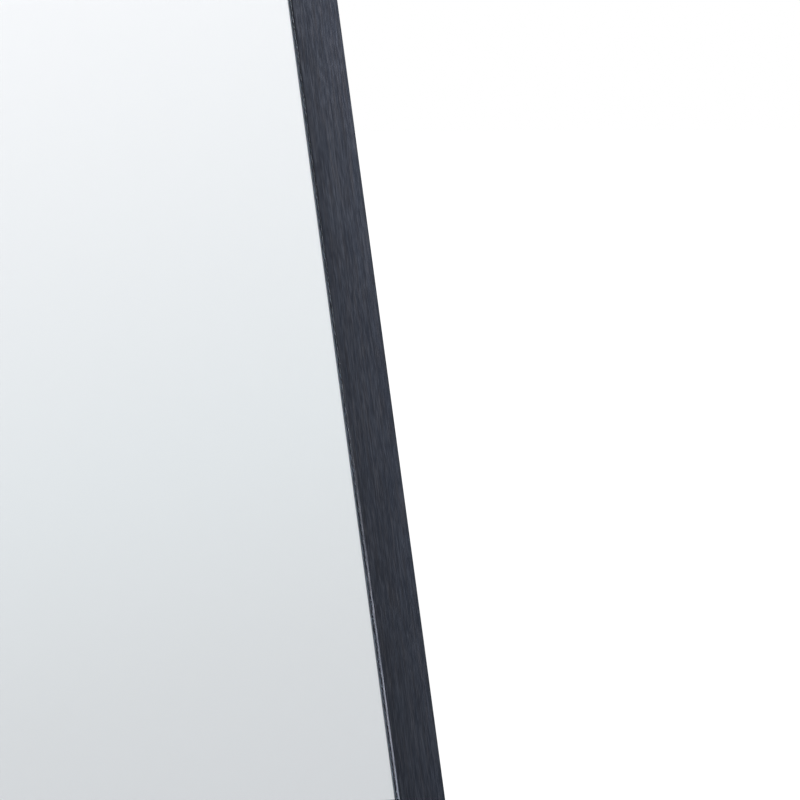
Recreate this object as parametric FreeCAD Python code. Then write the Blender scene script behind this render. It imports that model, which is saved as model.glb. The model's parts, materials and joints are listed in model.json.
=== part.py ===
import FreeCAD
import Part
import math
import os

# Free-standing full-length mirror: a mitred aluminium frame holds the glass and its backing,
# and a fold-out U-shaped leg behind it makes the frame lean back.
# Lengths are in millimetres. Pieces are drawn upright, with X to the right, Y backwards from
# the front face and Z up from the frame's lower edge, and are then leaned onto the floor.

# Stance
LEAN_DEG = 15.0
LEG_OPEN_DEG = 28.0
FLOOR_GAP = 3.0

# Frame bars: a hollow box with a front lip over the glass and a rear lip behind the springs
OVERALL_WIDTH = 400.0
OVERALL_HEIGHT = 1400.0
FRAME_DEPTH = 25.0
BOX_WIDTH = 23.0
CHANNEL_DEPTH = 12.0
WALL = 1.4
LIP_THICKNESS = 1.4
LIP_CHAMFER = 0.7
REAR_LIP_THICKNESS = 1.4
EDGE_RADIUS = 0.4
MITRE_GAP = 0.1

# Glazing tape under the front lip, glass, and what lies behind it, from front to back
TAPE_THICKNESS = 0.2
TAPE_WIDTH = 8.0
TAPE_INSET = 0.1
GLASS_THICKNESS = 2.0
FILM_THICKNESS = 0.2
FOAM_THICKNESS = 2.0
BOARD_THICKNESS = 3.0
GLASS_SIDE_GAP = 1.0
GLASS_TOP_GAP = 2.0
GLASS_SEAT_CLEARANCE = 0.05

# Bow springs between the backing board and the rear lip
SPRING_SPACE = 2.8
SPRING_THICKNESS = 0.5
SPRING_LENGTH = 50.0
SPRING_WIDTH = 14.0
SPRING_INSET = 0.6
SPRING_SLACK = 0.1
SPRINGS_PER_STILE = 4
SPRINGS_PER_RAIL = 2

# Corner keys
KEY_ARM = 52.0
KEY_DEPTH = 8.0
KEY_CLEARANCE = 0.1
KEY_SCREW_AT = 38.0

# Screws, all of one size
SCREW_RADIUS = 2.0
SCREW_HEAD_RADIUS = 3.6
SCREW_HEAD_HEIGHT = 2.0
SCREW_HEAD_RIM = 0.9
SCREW_LENGTH = 7.0
SCREW_HOLE_CLEARANCE = 0.1
CROSS_SLOT_LENGTH = 4.0
CROSS_SLOT_WIDTH = 0.9
CROSS_SLOT_DEPTH = 1.1

# Leg hinges
HINGE_HEIGHT = 900.0
BRACKET_THICKNESS = 2.0
EAR_THICKNESS = 2.0
EAR_RADIUS = 9.0
BRACKET_SCREW_AT = 22.0
BRACKET_END_MARGIN = 7.0
BRACKET_CORNER_RADIUS = 3.0
NUT_PLATE_THICKNESS = 4.0
PIN_RADIUS = 3.0
PIN_RUNNING_CLEARANCE = 0.05
PIN_HEAD_RADIUS = 4.6
PIN_HEAD_HEIGHT = 1.4
PIN_TAIL = 2.4
CLIP_THICKNESS = 0.8
CLIP_RADIUS = 5.0
CLIP_GROOVE_DEPTH = 0.6
CLIP_CLEARANCE = 0.05
CLIP_MOUTH = 4.0
WASHER_THICKNESS = 0.5
WASHER_RADIUS = 6.5
WASHER_CLEARANCE = 0.1

# Leg
TUBE_RADIUS = 8.0
TUBE_WALL = 1.5
LEG_BEND_RADIUS = 45.0
TONGUE_WIDTH = 10.0
TONGUE_LENGTH = 20.0
TONGUE_ROUND = 5.0
COLLAR_LENGTH = 6.0
SPIGOT_LENGTH = 26.0
SPIGOT_CLEARANCE = 0.1
STOP_FACE_LENGTH = 5.0
STOP_CLEARANCE = 0.2
RIVET_RADIUS = 2.0
RIVET_HEAD_RADIUS = 3.5
RIVET_HEAD_HEIGHT = 1.0
RIVET_CLEARANCE = 0.05

# Rubber feet
SLEEVE_RADIUS = 11.5
SLEEVE_LENGTH = 46.0
SLEEVE_CLEARANCE = 0.05
SLEEVE_FROM_BEND = 4.0
SLEEVE_EDGE = 1.5
SOLE_CUT = 1.0
FOLD_CLEARANCE = 1.5
FOOT_LENGTH = 50.0
FOOT_INSET = 3.0
FOOT_FROM_SIDE = 88.0
FOOT_CORNER_RADIUS = 4.0
STEM_RADIUS = 3.0
STEM_LENGTH = 6.0
STEM_CLEARANCE = 0.1

# Wall hangers
HANGER_FROM_SIDE = 92.0
HANGER_WIDTH = 32.0
HANGER_THICKNESS = 1.5
HANGER_DROP = 30.0
HANGER_TOP_MARGIN = 2.0
HANGER_CORNER_RADIUS = 4.0
HANGER_SCREW_SPACING = 18.0
KEYHOLE_RADIUS = 4.5
KEYHOLE_SLOT_RADIUS = 2.3
KEYHOLE_TRAVEL = 10.0
KEYHOLE_BELOW_BOX = 20.0

# Sizes that follow from the ones above
FACE_WIDTH = BOX_WIDTH + CHANNEL_DEPTH
HALF_WIDTH = OVERALL_WIDTH / 2
BOX_MIDDLE = BOX_WIDTH / 2
GLASS_FRONT = LIP_THICKNESS + TAPE_THICKNESS + GLASS_SEAT_CLEARANCE
FILM_FRONT = GLASS_FRONT + GLASS_THICKNESS + GLASS_SEAT_CLEARANCE
FOAM_FRONT = FILM_FRONT + FILM_THICKNESS
BOARD_FRONT = FOAM_FRONT + FOAM_THICKNESS
SPRING_FRONT = BOARD_FRONT + BOARD_THICKNESS
REAR_LIP_FRONT = SPRING_FRONT + SPRING_SPACE
CHAMBER_BACK = FRAME_DEPTH - WALL
LEG_X = HALF_WIDTH - BOX_MIDDLE
EAR_GAP = TONGUE_WIDTH + 2 * (WASHER_THICKNESS + 2 * WASHER_CLEARANCE)
BRACKET_WIDTH = EAR_GAP + 2 * EAR_THICKNESS
BRACKET_HALF_LENGTH = BRACKET_SCREW_AT + BRACKET_END_MARGIN
PIN_STANDOFF = SLEEVE_RADIUS + FOLD_CLEARANCE
PIN_Y = FRAME_DEPTH + PIN_STANDOFF
HEAD_LENGTH = TONGUE_LENGTH + COLLAR_LENGTH
SLEEVE_AT = LEG_X - LEG_BEND_RADIUS - SLEEVE_FROM_BEND - SLEEVE_LENGTH / 2
FOOT_AT = HALF_WIDTH - FOOT_FROM_SIDE
HANGER_AT = HALF_WIDTH - HANGER_FROM_SIDE
SCREW_HOLE_RADIUS = SCREW_RADIUS + SCREW_HOLE_CLEARANCE
STEM_HOLE_RADIUS = STEM_RADIUS + STEM_CLEARANCE
HANGER_SCREW_Z = OVERALL_HEIGHT - BOX_MIDDLE
KEYHOLE_Z = OVERALL_HEIGHT - BOX_WIDTH - KEYHOLE_BELOW_BOX

# Where the leaned frame stands: the pin's height above the floor sets the leg's length
LEAN = math.radians(LEAN_DEG)
LEG_SLOPE = math.radians(LEG_OPEN_DEG - LEAN_DEG)
LIFT = FRAME_DEPTH * math.sin(LEAN) + FLOOR_GAP
PIN_FLOOR_HEIGHT = HINGE_HEIGHT * math.cos(LEAN) - PIN_Y * math.sin(LEAN) + LIFT
CROSS_TUBE_FLOOR_HEIGHT = SLEEVE_RADIUS - SOLE_CUT
LEG_LENGTH = (PIN_FLOOR_HEIGHT - CROSS_TUBE_FLOOR_HEIGHT) / math.cos(LEG_SLOPE)
PIN_FROM_TOE = HINGE_HEIGHT * math.sin(LEAN) + PIN_Y * math.cos(LEAN)
LEG_FOOT_FROM_TOE = PIN_FROM_TOE + LEG_LENGTH * math.sin(LEG_SLOPE)
FOOT_TOE = FOOT_INSET / math.cos(LEAN) - LIFT * math.tan(LEAN)
FRONT_REACH = min(0.0, FOOT_TOE)
TOP_REACH = OVERALL_HEIGHT * math.sin(LEAN) + FRAME_DEPTH * math.cos(LEAN)
BACK_REACH = max(LEG_FOOT_FROM_TOE + SLEEVE_RADIUS, TOP_REACH)
CENTRING = -(FRONT_REACH + BACK_REACH) / 2

X_AXIS = FreeCAD.Vector(1, 0, 0)
Y_AXIS = FreeCAD.Vector(0, 1, 0)
Z_AXIS = FreeCAD.Vector(0, 0, 1)
ORIGIN = FreeCAD.Vector(0, 0, 0)
PIN_CENTRE = FreeCAD.Vector(0, PIN_Y, HINGE_HEIGHT)
SIDES = {"left": -1, "right": 1}


def block(low, high):
    """Box between two opposite corners."""
    size = [b - a for a, b in zip(low, high)]
    return Part.makeBox(*size, FreeCAD.Vector(*low))


def rod(radius, start, along):
    """Cylinder from a point, with the length and direction of a vector."""
    return Part.makeCylinder(radius, along.Length, start, along)


def rounded_wire(corners, to_3d):
    """Closed outline through corners (a, b, radius), with tangent arcs at the rounded ones."""
    marks = []
    for i, (a, b, radius) in enumerate(corners):
        here = FreeCAD.Vector(a, b, 0)
        before = FreeCAD.Vector(*corners[i - 1][:2], 0) - here
        after = FreeCAD.Vector(*corners[(i + 1) % len(corners)][:2], 0) - here
        before.normalize()
        after.normalize()
        if radius <= 0:
            marks.append((here, None, here))
            continue
        half_angle = before.getAngle(after) / 2
        reach = radius / math.tan(half_angle)
        inward = (before + after).normalize()
        centre = here + inward * (radius / math.sin(half_angle))
        marks.append((here + before * reach, centre - inward * radius, here + after * reach))
    edges = []
    for i, (start, middle, end) in enumerate(marks):
        if middle is not None:
            edges.append(Part.Arc(to_3d(start), to_3d(middle), to_3d(end)).toShape())
        next_start = marks[(i + 1) % len(marks)][0]
        if (next_start - end).Length > 1e-6:
            edges.append(Part.LineSegment(to_3d(end), to_3d(next_start)).toShape())
    return Part.Wire(edges)


def prism(corners, to_3d, along):
    """Solid whose section is a rounded outline, pushed along a vector."""
    return Part.Face(rounded_wire(corners, to_3d)).extrude(along)


def screw(seat, along):
    """Pan-head screw with a domed top and a cross recess: its head sits on the seat and points along."""
    dome = SCREW_HEAD_HEIGHT - SCREW_HEAD_RIM
    dome_radius = (SCREW_HEAD_RADIUS**2 + dome**2) / (2 * dome)
    ball = Part.makeSphere(dome_radius, Z_AXIS * (SCREW_HEAD_HEIGHT - dome_radius))
    head = rod(SCREW_HEAD_RADIUS, ORIGIN, Z_AXIS * SCREW_HEAD_HEIGHT).common(ball)
    solid = head.fuse(rod(SCREW_RADIUS, ORIGIN, Z_AXIS * -SCREW_LENGTH))
    half, wide = CROSS_SLOT_LENGTH / 2, CROSS_SLOT_WIDTH / 2
    floor = SCREW_HEAD_HEIGHT - CROSS_SLOT_DEPTH
    for x, y in ((half, wide), (wide, half)):
        solid = solid.cut(block((-x, -y, floor), (x, y, SCREW_HEAD_HEIGHT)))
    solid.Placement = FreeCAD.Placement(seat, FreeCAD.Rotation(Z_AXIS, along))
    return solid


def drill_back(piece, points, radius):
    """Round holes along Y through the frame's back wall and what lies behind and before it."""
    deep = KEY_DEPTH + NUT_PLATE_THICKNESS
    for point in points:
        start = FreeCAD.Vector(point.x, CHAMBER_BACK - deep, point.z)
        piece = piece.cut(rod(radius, start, Y_AXIS * (2 * deep)))
    return piece


# Frame

def bar_section():
    """Section of a frame bar as (depth, distance from the outer edge), and its hollow chamber."""
    rear_lip_back = REAR_LIP_FRONT + REAR_LIP_THICKNESS
    outside = [
        (0, 0, EDGE_RADIUS),
        (0, FACE_WIDTH - LIP_CHAMFER, 0),
        (LIP_CHAMFER, FACE_WIDTH, 0),
        (LIP_THICKNESS, FACE_WIDTH, 0),
        (LIP_THICKNESS, BOX_WIDTH, 0),
        (REAR_LIP_FRONT, BOX_WIDTH, 0),
        (REAR_LIP_FRONT, FACE_WIDTH, 0),
        (rear_lip_back, FACE_WIDTH, 0),
        (rear_lip_back, BOX_WIDTH, 0),
        (FRAME_DEPTH, BOX_WIDTH, EDGE_RADIUS),
        (FRAME_DEPTH, 0, EDGE_RADIUS),
    ]
    chamber = [
        (LIP_THICKNESS, WALL, 0),
        (LIP_THICKNESS, BOX_WIDTH - WALL, 0),
        (CHAMBER_BACK, BOX_WIDTH - WALL, 0),
        (CHAMBER_BACK, WALL, 0),
    ]
    return outside, chamber


def frame_bar(length):
    """One bar lying along X with its outer edge on Z = 0 and both ends mitred at 45 degrees."""
    half = length / 2
    outside, chamber = bar_section()
    to_3d = lambda p: FreeCAD.Vector(-half, p.x, p.y)
    along = X_AXIS * length
    straight = prism(outside, to_3d, along).cut(prism(chamber, to_3d, along))
    tip = half - MITRE_GAP * math.sqrt(0.5)
    mitre = [(-tip, 0, 0), (tip, 0, 0), (tip - FACE_WIDTH, FACE_WIDTH, 0), (FACE_WIDTH - tip, FACE_WIDTH, 0)]
    keep = prism(mitre, lambda p: FreeCAD.Vector(p.x, 0, p.y), Y_AXIS * FRAME_DEPTH)
    return straight.common(keep)


def corner_screw_points():
    """Back-wall places of the screws that hold each corner key, two to a corner."""
    points = []
    for side in SIDES.values():
        for end in (-1, 1):
            middle = OVERALL_HEIGHT / 2
            for across, up in ((BOX_MIDDLE, KEY_SCREW_AT), (KEY_SCREW_AT, BOX_MIDDLE)):
                x, z = side * (HALF_WIDTH - across), middle + end * (middle - up)
                points.append(FreeCAD.Vector(x, FRAME_DEPTH, z))
    return points


def hinge_screw_points():
    return [
        FreeCAD.Vector(side * LEG_X, FRAME_DEPTH, HINGE_HEIGHT + end * BRACKET_SCREW_AT)
        for side in SIDES.values()
        for end in (-1, 1)
    ]


def hanger_screw_points():
    return [
        FreeCAD.Vector(side * HANGER_AT + end * HANGER_SCREW_SPACING / 2, FRAME_DEPTH, HANGER_SCREW_Z)
        for side in SIDES.values()
        for end in (-1, 1)
    ]


def frame_bars():
    """The two stiles and two rails, each turned into its place and drilled."""
    places = {
        "bottom_rail": (OVERALL_WIDTH, 0, FreeCAD.Vector(0, 0, 0)),
        "right_stile": (OVERALL_HEIGHT, -90, FreeCAD.Vector(HALF_WIDTH, 0, OVERALL_HEIGHT / 2)),
        "top_rail": (OVERALL_WIDTH, 180, FreeCAD.Vector(0, 0, OVERALL_HEIGHT)),
        "left_stile": (OVERALL_HEIGHT, 90, FreeCAD.Vector(-HALF_WIDTH, 0, OVERALL_HEIGHT / 2)),
    }
    bars = {}
    for name, (length, turn, place) in places.items():
        bar = frame_bar(length)
        bar.rotate(ORIGIN, Y_AXIS, turn)
        bar.translate(place)
        points = corner_screw_points() + hinge_screw_points() + hanger_screw_points()
        on_bar = [p for p in points if bar.BoundBox.isInside(FreeCAD.Vector(p.x, CHAMBER_BACK, p.z))]
        bars[name] = drill_back(bar, on_bar, SCREW_HOLE_RADIUS)
    for side in SIDES.values():
        start = FreeCAD.Vector(side * FOOT_AT, FRAME_DEPTH / 2, -WALL)
        bars["bottom_rail"] = bars["bottom_rail"].cut(rod(STEM_HOLE_RADIUS, start, Z_AXIS * 3 * WALL))
    return bars


def corner_keys():
    """L-shaped keys that slide into the bars' chambers and draw the mitres together."""
    near, far = WALL + KEY_CLEARANCE, BOX_WIDTH - WALL - KEY_CLEARANCE
    lower_arm = [(near, near, 0), (KEY_ARM, near, 0), (KEY_ARM, far, 0)]
    upper_arm = [(far, far, 0), (far, KEY_ARM, 0), (near, KEY_ARM, 0)]
    keys = {}
    for word, end in (("bottom", -1), ("top", 1)):
        for side_word, side in SIDES.items():
            middle = OVERALL_HEIGHT / 2
            to_3d = lambda p: FreeCAD.Vector(
                side * (HALF_WIDTH - p.x), CHAMBER_BACK - KEY_DEPTH, middle + end * (middle - p.y)
            )
            key = prism(lower_arm + upper_arm, to_3d, Y_AXIS * KEY_DEPTH)
            near_key = [p for p in corner_screw_points() if p.x * side > 0 and (p.z - middle) * end > 0]
            keys[f"{word}_{side_word}_corner_key"] = drill_back(key, near_key, SCREW_HOLE_RADIUS)
    return keys


# Glass and backing

def glazing_tape():
    """Thin foam tape on the lip's underside, which the glass bears on: one ring round the opening."""
    outlines = []
    for reach in (TAPE_WIDTH, TAPE_INSET):
        x = HALF_WIDTH - FACE_WIDTH + reach
        low, high = FACE_WIDTH - reach, OVERALL_HEIGHT - FACE_WIDTH + reach
        outlines.append(block((-x, LIP_THICKNESS, low), (x, LIP_THICKNESS + TAPE_THICKNESS, high)))
    return outlines[0].cut(outlines[1])


def pack_sheet(front, thickness):
    """A sheet of the glass pack: it stands on the bottom channel and has room at its sides and top."""
    half = HALF_WIDTH - BOX_WIDTH - GLASS_SIDE_GAP
    top = OVERALL_HEIGHT - BOX_WIDTH - GLASS_TOP_GAP
    return block((-half, front, BOX_WIDTH), (half, front + thickness, top))


def bow_spring(to_3d, across):
    """Bowed leaf: its middle bears on the backing board and its two ends on the rear lip."""
    half = SPRING_LENGTH / 2
    board_side = SPRING_FRONT + SPRING_SLACK
    lip_side = board_side + SPRING_THICKNESS
    tip = REAR_LIP_FRONT - SPRING_SLACK
    rise = tip - lip_side
    radius = (half**2 + rise**2) / (2 * rise)
    centre = lip_side + radius
    outer = (radius + SPRING_THICKNESS) / radius
    outer_half, outer_tip = half * outer, centre + (tip - centre) * outer
    point = lambda a, y: to_3d(FreeCAD.Vector(a, y, 0))
    edges = [
        Part.Arc(point(-half, tip), point(0, lip_side), point(half, tip)).toShape(),
        Part.LineSegment(point(half, tip), point(outer_half, outer_tip)).toShape(),
        Part.Arc(point(outer_half, outer_tip), point(0, board_side), point(-outer_half, outer_tip)).toShape(),
        Part.LineSegment(point(-outer_half, outer_tip), point(-half, tip)).toShape(),
    ]
    return Part.Face(Part.Wire(edges)).extrude(across)


def bow_springs():
    """All springs, spread evenly along the stiles and the rails."""
    edge = BOX_WIDTH + SPRING_INSET
    springs = []
    for side in SIDES.values():
        for i in range(SPRINGS_PER_STILE):
            z = OVERALL_HEIGHT * (i + 0.5) / SPRINGS_PER_STILE
            to_3d = lambda p: FreeCAD.Vector(side * (HALF_WIDTH - edge), p.y, z + p.x)
            springs.append(bow_spring(to_3d, X_AXIS * (-side * SPRING_WIDTH)))
    for end in (-1, 1):
        for i in range(SPRINGS_PER_RAIL):
            x = OVERALL_WIDTH * ((i + 0.5) / SPRINGS_PER_RAIL - 0.5)
            z = OVERALL_HEIGHT / 2 + end * (OVERALL_HEIGHT / 2 - edge)
            to_3d = lambda p: FreeCAD.Vector(x + p.x, p.y, z)
            springs.append(bow_spring(to_3d, Z_AXIS * (-end * SPRING_WIDTH)))
    return Part.makeCompound(springs)


# Hinges on the frame

def hinge_bracket(x):
    """Folded steel channel: a base screwed to the stile and two ears that carry the pin."""
    half_length, half_width, round_end = BRACKET_HALF_LENGTH, BRACKET_WIDTH / 2, BRACKET_CORNER_RADIUS
    corners = [(a * half_width, b * half_length, round_end) for a, b in ((-1, -1), (1, -1), (1, 1), (-1, 1))]
    to_3d = lambda p: FreeCAD.Vector(x + p.x, FRAME_DEPTH, HINGE_HEIGHT + p.y)
    bracket = prism(corners, to_3d, Y_AXIS * BRACKET_THICKNESS)
    for side in (-1, 1):
        inner, outer = sorted((x + side * EAR_GAP / 2, x + side * half_width))
        low = (inner, FRAME_DEPTH, HINGE_HEIGHT - EAR_RADIUS)
        high = (outer, PIN_Y, HINGE_HEIGHT + EAR_RADIUS)
        rounded_end = rod(EAR_RADIUS, FreeCAD.Vector(inner, PIN_Y, HINGE_HEIGHT), X_AXIS * EAR_THICKNESS)
        bracket = bracket.fuse([block(low, high), rounded_end])
    pin_hole_radius = PIN_RADIUS + PIN_RUNNING_CLEARANCE
    across = FreeCAD.Vector(x - BRACKET_WIDTH, PIN_Y, HINGE_HEIGHT)
    bracket = bracket.cut(rod(pin_hole_radius, across, X_AXIS * 2 * BRACKET_WIDTH)).removeSplitter()
    screws = [p for p in hinge_screw_points() if p.x * x > 0]
    return drill_back(bracket, screws, SCREW_HOLE_RADIUS)


def nut_plate(x):
    """Steel plate in the stile's chamber that the bracket's screws bite into."""
    half = BOX_MIDDLE - WALL - KEY_CLEARANCE
    low = (x - half, CHAMBER_BACK - NUT_PLATE_THICKNESS, HINGE_HEIGHT - BRACKET_HALF_LENGTH)
    high = (x + half, CHAMBER_BACK, HINGE_HEIGHT + BRACKET_HALF_LENGTH)
    screws = [p for p in hinge_screw_points() if p.x * x > 0]
    return drill_back(block(low, high), screws, SCREW_HOLE_RADIUS)


def hinge_pin(side):
    """Pin with its head outside the outer ear and a clip groove beyond the inner one."""
    out = X_AXIS * side
    head_seat = FreeCAD.Vector(side * (LEG_X + BRACKET_WIDTH / 2), PIN_Y, HINGE_HEIGHT)
    shank = rod(PIN_RADIUS, head_seat, out * -(BRACKET_WIDTH + PIN_TAIL))
    pin = shank.fuse(rod(PIN_HEAD_RADIUS, head_seat, out * PIN_HEAD_HEIGHT)).removeSplitter()
    groove_start = head_seat - out * (BRACKET_WIDTH + CLIP_CLEARANCE)
    groove = out * -(CLIP_THICKNESS + 2 * CLIP_CLEARANCE)
    core = rod(PIN_RADIUS - CLIP_GROOVE_DEPTH, groove_start, groove)
    return pin.cut(rod(PIN_RADIUS, groove_start, groove).cut(core))


def pin_clip(side):
    """Retaining clip: a thin ring in the pin's groove with a mouth to push it on by."""
    out = X_AXIS * side
    start = FreeCAD.Vector(side * (LEG_X - BRACKET_WIDTH / 2 - 2 * CLIP_CLEARANCE), PIN_Y, HINGE_HEIGHT)
    along = out * -CLIP_THICKNESS
    bore = PIN_RADIUS - CLIP_GROOVE_DEPTH + CLIP_CLEARANCE
    ring = rod(CLIP_RADIUS, start, along).cut(rod(bore, start, along))
    reach = 2 * CLIP_THICKNESS
    low = (start.x - reach, PIN_Y - CLIP_MOUTH / 2, HINGE_HEIGHT - 2 * CLIP_RADIUS)
    high = (start.x + reach, PIN_Y + CLIP_MOUTH / 2, HINGE_HEIGHT)
    return ring.cut(block(low, high))


def hinge_washers():
    """Nylon washers on the pin, between the leg's tongue and each ear."""
    bore = PIN_RADIUS + PIN_RUNNING_CLEARANCE
    washers = []
    for side in SIDES.values():
        for end in (-1, 1):
            x = side * LEG_X + end * (TONGUE_WIDTH / 2 + WASHER_CLEARANCE)
            start = FreeCAD.Vector(x, PIN_Y, HINGE_HEIGHT)
            along = X_AXIS * (end * WASHER_THICKNESS)
            washers.append(rod(WASHER_RADIUS, start, along).cut(rod(bore, start, along)))
    return Part.makeCompound(washers)


# Leg, drawn folded flat behind the frame with its pin at PIN_CENTRE

def leg_path():
    """Centre line of the bent tube: down one side, across and up the other."""
    top, low, bend = HINGE_HEIGHT - HEAD_LENGTH, HINGE_HEIGHT - LEG_LENGTH, LEG_BEND_RADIUS
    diagonal = bend * (1 - math.sqrt(0.5))
    point = lambda x, z: FreeCAD.Vector(x, PIN_Y, z)
    tops, sides, corners, floors = [
        [point(side * x, z) for side in SIDES.values()]
        for x, z in (
            (LEG_X, top),
            (LEG_X, low + bend),
            (LEG_X - diagonal, low + diagonal),
            (LEG_X - bend, low),
        )
    ]
    curves = [
        Part.LineSegment(tops[0], sides[0]),
        Part.Arc(sides[0], corners[0], floors[0]),
        Part.LineSegment(floors[0], floors[1]),
        Part.Arc(floors[1], corners[1], sides[1]),
        Part.LineSegment(sides[1], tops[1]),
    ]
    return Part.Wire([curve.toShape() for curve in curves])


def rivet_centre(side):
    return FreeCAD.Vector(side * LEG_X, PIN_Y, HINGE_HEIGHT - HEAD_LENGTH - SPIGOT_LENGTH / 2)


def rivet_hole(side):
    start = rivet_centre(side) - X_AXIS * (2 * TUBE_RADIUS)
    return rod(RIVET_RADIUS + RIVET_CLEARANCE, start, X_AXIS * (4 * TUBE_RADIUS))


def leg_tube():
    path = leg_path()
    start = FreeCAD.Vector(-LEG_X, PIN_Y, HINGE_HEIGHT - HEAD_LENGTH)
    skins = []
    for radius in (TUBE_RADIUS, TUBE_RADIUS - TUBE_WALL):
        ring = Part.Wire(Part.makeCircle(radius, start, Z_AXIS))
        skins.append(path.makePipeShell([ring], True, True))
    tube = skins[0].cut(skins[1])
    for side in SIDES.values():
        tube = tube.cut(rivet_hole(side))
    return tube


def leg_head(side):
    """Nylon head of a leg tube: spigot, collar and the tongue that turns on the pin.
    The tongue's heel meets the bracket's base when the leg is open, and stops it there."""
    opened = math.radians(LEG_OPEN_DEG)
    reach = PIN_STANDOFF - BRACKET_THICKNESS - STOP_CLEARANCE
    heel = (reach - TUBE_RADIUS * math.cos(opened)) / math.sin(opened)
    top = heel + STOP_FACE_LENGTH * math.cos(opened)
    heel_end = -TUBE_RADIUS + STOP_FACE_LENGTH * math.sin(opened)
    corners = [
        (-TUBE_RADIUS, -TONGUE_LENGTH, 0),
        (TUBE_RADIUS, -TONGUE_LENGTH, 0),
        (TUBE_RADIUS, top, TONGUE_ROUND),
        (heel_end, top, 0),
        (-TUBE_RADIUS, heel, 0),
    ]
    x = side * LEG_X
    to_3d = lambda p: FreeCAD.Vector(x - TONGUE_WIDTH / 2, PIN_Y + p.x, HINGE_HEIGHT + p.y)
    tongue = prism(corners, to_3d, X_AXIS * TONGUE_WIDTH)
    collar_bottom = FreeCAD.Vector(x, PIN_Y, HINGE_HEIGHT - HEAD_LENGTH)
    collar = rod(TUBE_RADIUS, collar_bottom, Z_AXIS * COLLAR_LENGTH)
    spigot = rod(TUBE_RADIUS - TUBE_WALL - SPIGOT_CLEARANCE, collar_bottom, Z_AXIS * -SPIGOT_LENGTH)
    bore_start = FreeCAD.Vector(x - TONGUE_WIDTH, PIN_Y, HINGE_HEIGHT)
    bore = rod(PIN_RADIUS + PIN_RUNNING_CLEARANCE, bore_start, X_AXIS * 2 * TONGUE_WIDTH)
    return tongue.fuse([collar, spigot]).cut(bore).cut(rivet_hole(side)).removeSplitter()


def leg_rivets():
    """Rivets through each tube and the spigot inside it."""
    rivets = []
    for side in SIDES.values():
        centre = rivet_centre(side)
        rivet = rod(RIVET_RADIUS, centre - X_AXIS * TUBE_RADIUS, X_AXIS * (2 * TUBE_RADIUS))
        for end in (-1, 1):
            seat = centre + X_AXIS * (end * TUBE_RADIUS)
            rivet = rivet.fuse(rod(RIVET_HEAD_RADIUS, seat, X_AXIS * (end * RIVET_HEAD_HEIGHT)))
        rivets.append(rivet.removeSplitter())
    return Part.makeCompound(rivets)


def leg_foot(side):
    """Rubber sleeve on the cross tube, before its sole is cut level with the floor."""
    start = FreeCAD.Vector(side * SLEEVE_AT - SLEEVE_LENGTH / 2, PIN_Y, HINGE_HEIGHT - LEG_LENGTH)
    along = X_AXIS * SLEEVE_LENGTH
    sleeve = rod(SLEEVE_RADIUS, start, along)
    rims = [e for e in sleeve.Edges if abs(e.Length - 2 * math.pi * SLEEVE_RADIUS) < 1e-3]
    sleeve = sleeve.makeFillet(SLEEVE_EDGE, rims)
    return sleeve.cut(rod(TUBE_RADIUS + SLEEVE_CLEARANCE, start, along))


# Front feet and wall hangers

def front_foot(side):
    """Rubber wedge under the bottom rail: its sole lies on the floor when the frame leans."""
    sole = lambda y: y * math.tan(LEAN) - LIFT / math.cos(LEAN)
    front, back = FOOT_INSET, FRAME_DEPTH - FOOT_INSET
    corners = [(front, 0, 0), (back, 0, 0), (back, sole(back), 0), (front, sole(front), 0)]
    left, right = side * FOOT_AT - FOOT_LENGTH / 2, side * FOOT_AT + FOOT_LENGTH / 2
    wedge = prism(corners, lambda p: FreeCAD.Vector(left, p.x, p.y), X_AXIS * FOOT_LENGTH)
    ends = ((left, front), (right, front), (right, back), (left, back))
    plan = [(x, y, FOOT_CORNER_RADIUS) for x, y in ends]
    wedge = wedge.common(prism(plan, lambda p: FreeCAD.Vector(p.x, p.y, 0), Z_AXIS * sole(front)))
    stem = rod(STEM_RADIUS, FreeCAD.Vector(side * FOOT_AT, FRAME_DEPTH / 2, 0), Z_AXIS * STEM_LENGTH)
    return wedge.fuse(stem).removeSplitter()


def hanger_plate(side):
    """Keyhole plate: screwed to the top rail, it hangs over the hollow behind the backing board."""
    half = HANGER_WIDTH / 2
    bottom, top = OVERALL_HEIGHT - BOX_WIDTH - HANGER_DROP, OVERALL_HEIGHT - HANGER_TOP_MARGIN
    ends = ((-half, bottom), (half, bottom), (half, top), (-half, top))
    corners = [(across, up, HANGER_CORNER_RADIUS) for across, up in ends]
    x = side * HANGER_AT
    plate = prism(corners, lambda p: FreeCAD.Vector(x + p.x, FRAME_DEPTH, p.y), Y_AXIS * HANGER_THICKNESS)
    through = Y_AXIS * (3 * HANGER_THICKNESS)
    entry = FreeCAD.Vector(x, FRAME_DEPTH - HANGER_THICKNESS, KEYHOLE_Z)
    slot_end = entry + Z_AXIS * KEYHOLE_TRAVEL
    slot = block(
        (x - KEYHOLE_SLOT_RADIUS, entry.y, entry.z),
        (x + KEYHOLE_SLOT_RADIUS, entry.y + through.y, slot_end.z),
    )
    keyhole = rod(KEYHOLE_RADIUS, entry, through).fuse([slot, rod(KEYHOLE_SLOT_RADIUS, slot_end, through)])
    screws = [p for p in hanger_screw_points() if p.x * side > 0]
    return drill_back(plate.cut(keyhole), screws, SCREW_HOLE_RADIUS)


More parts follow.
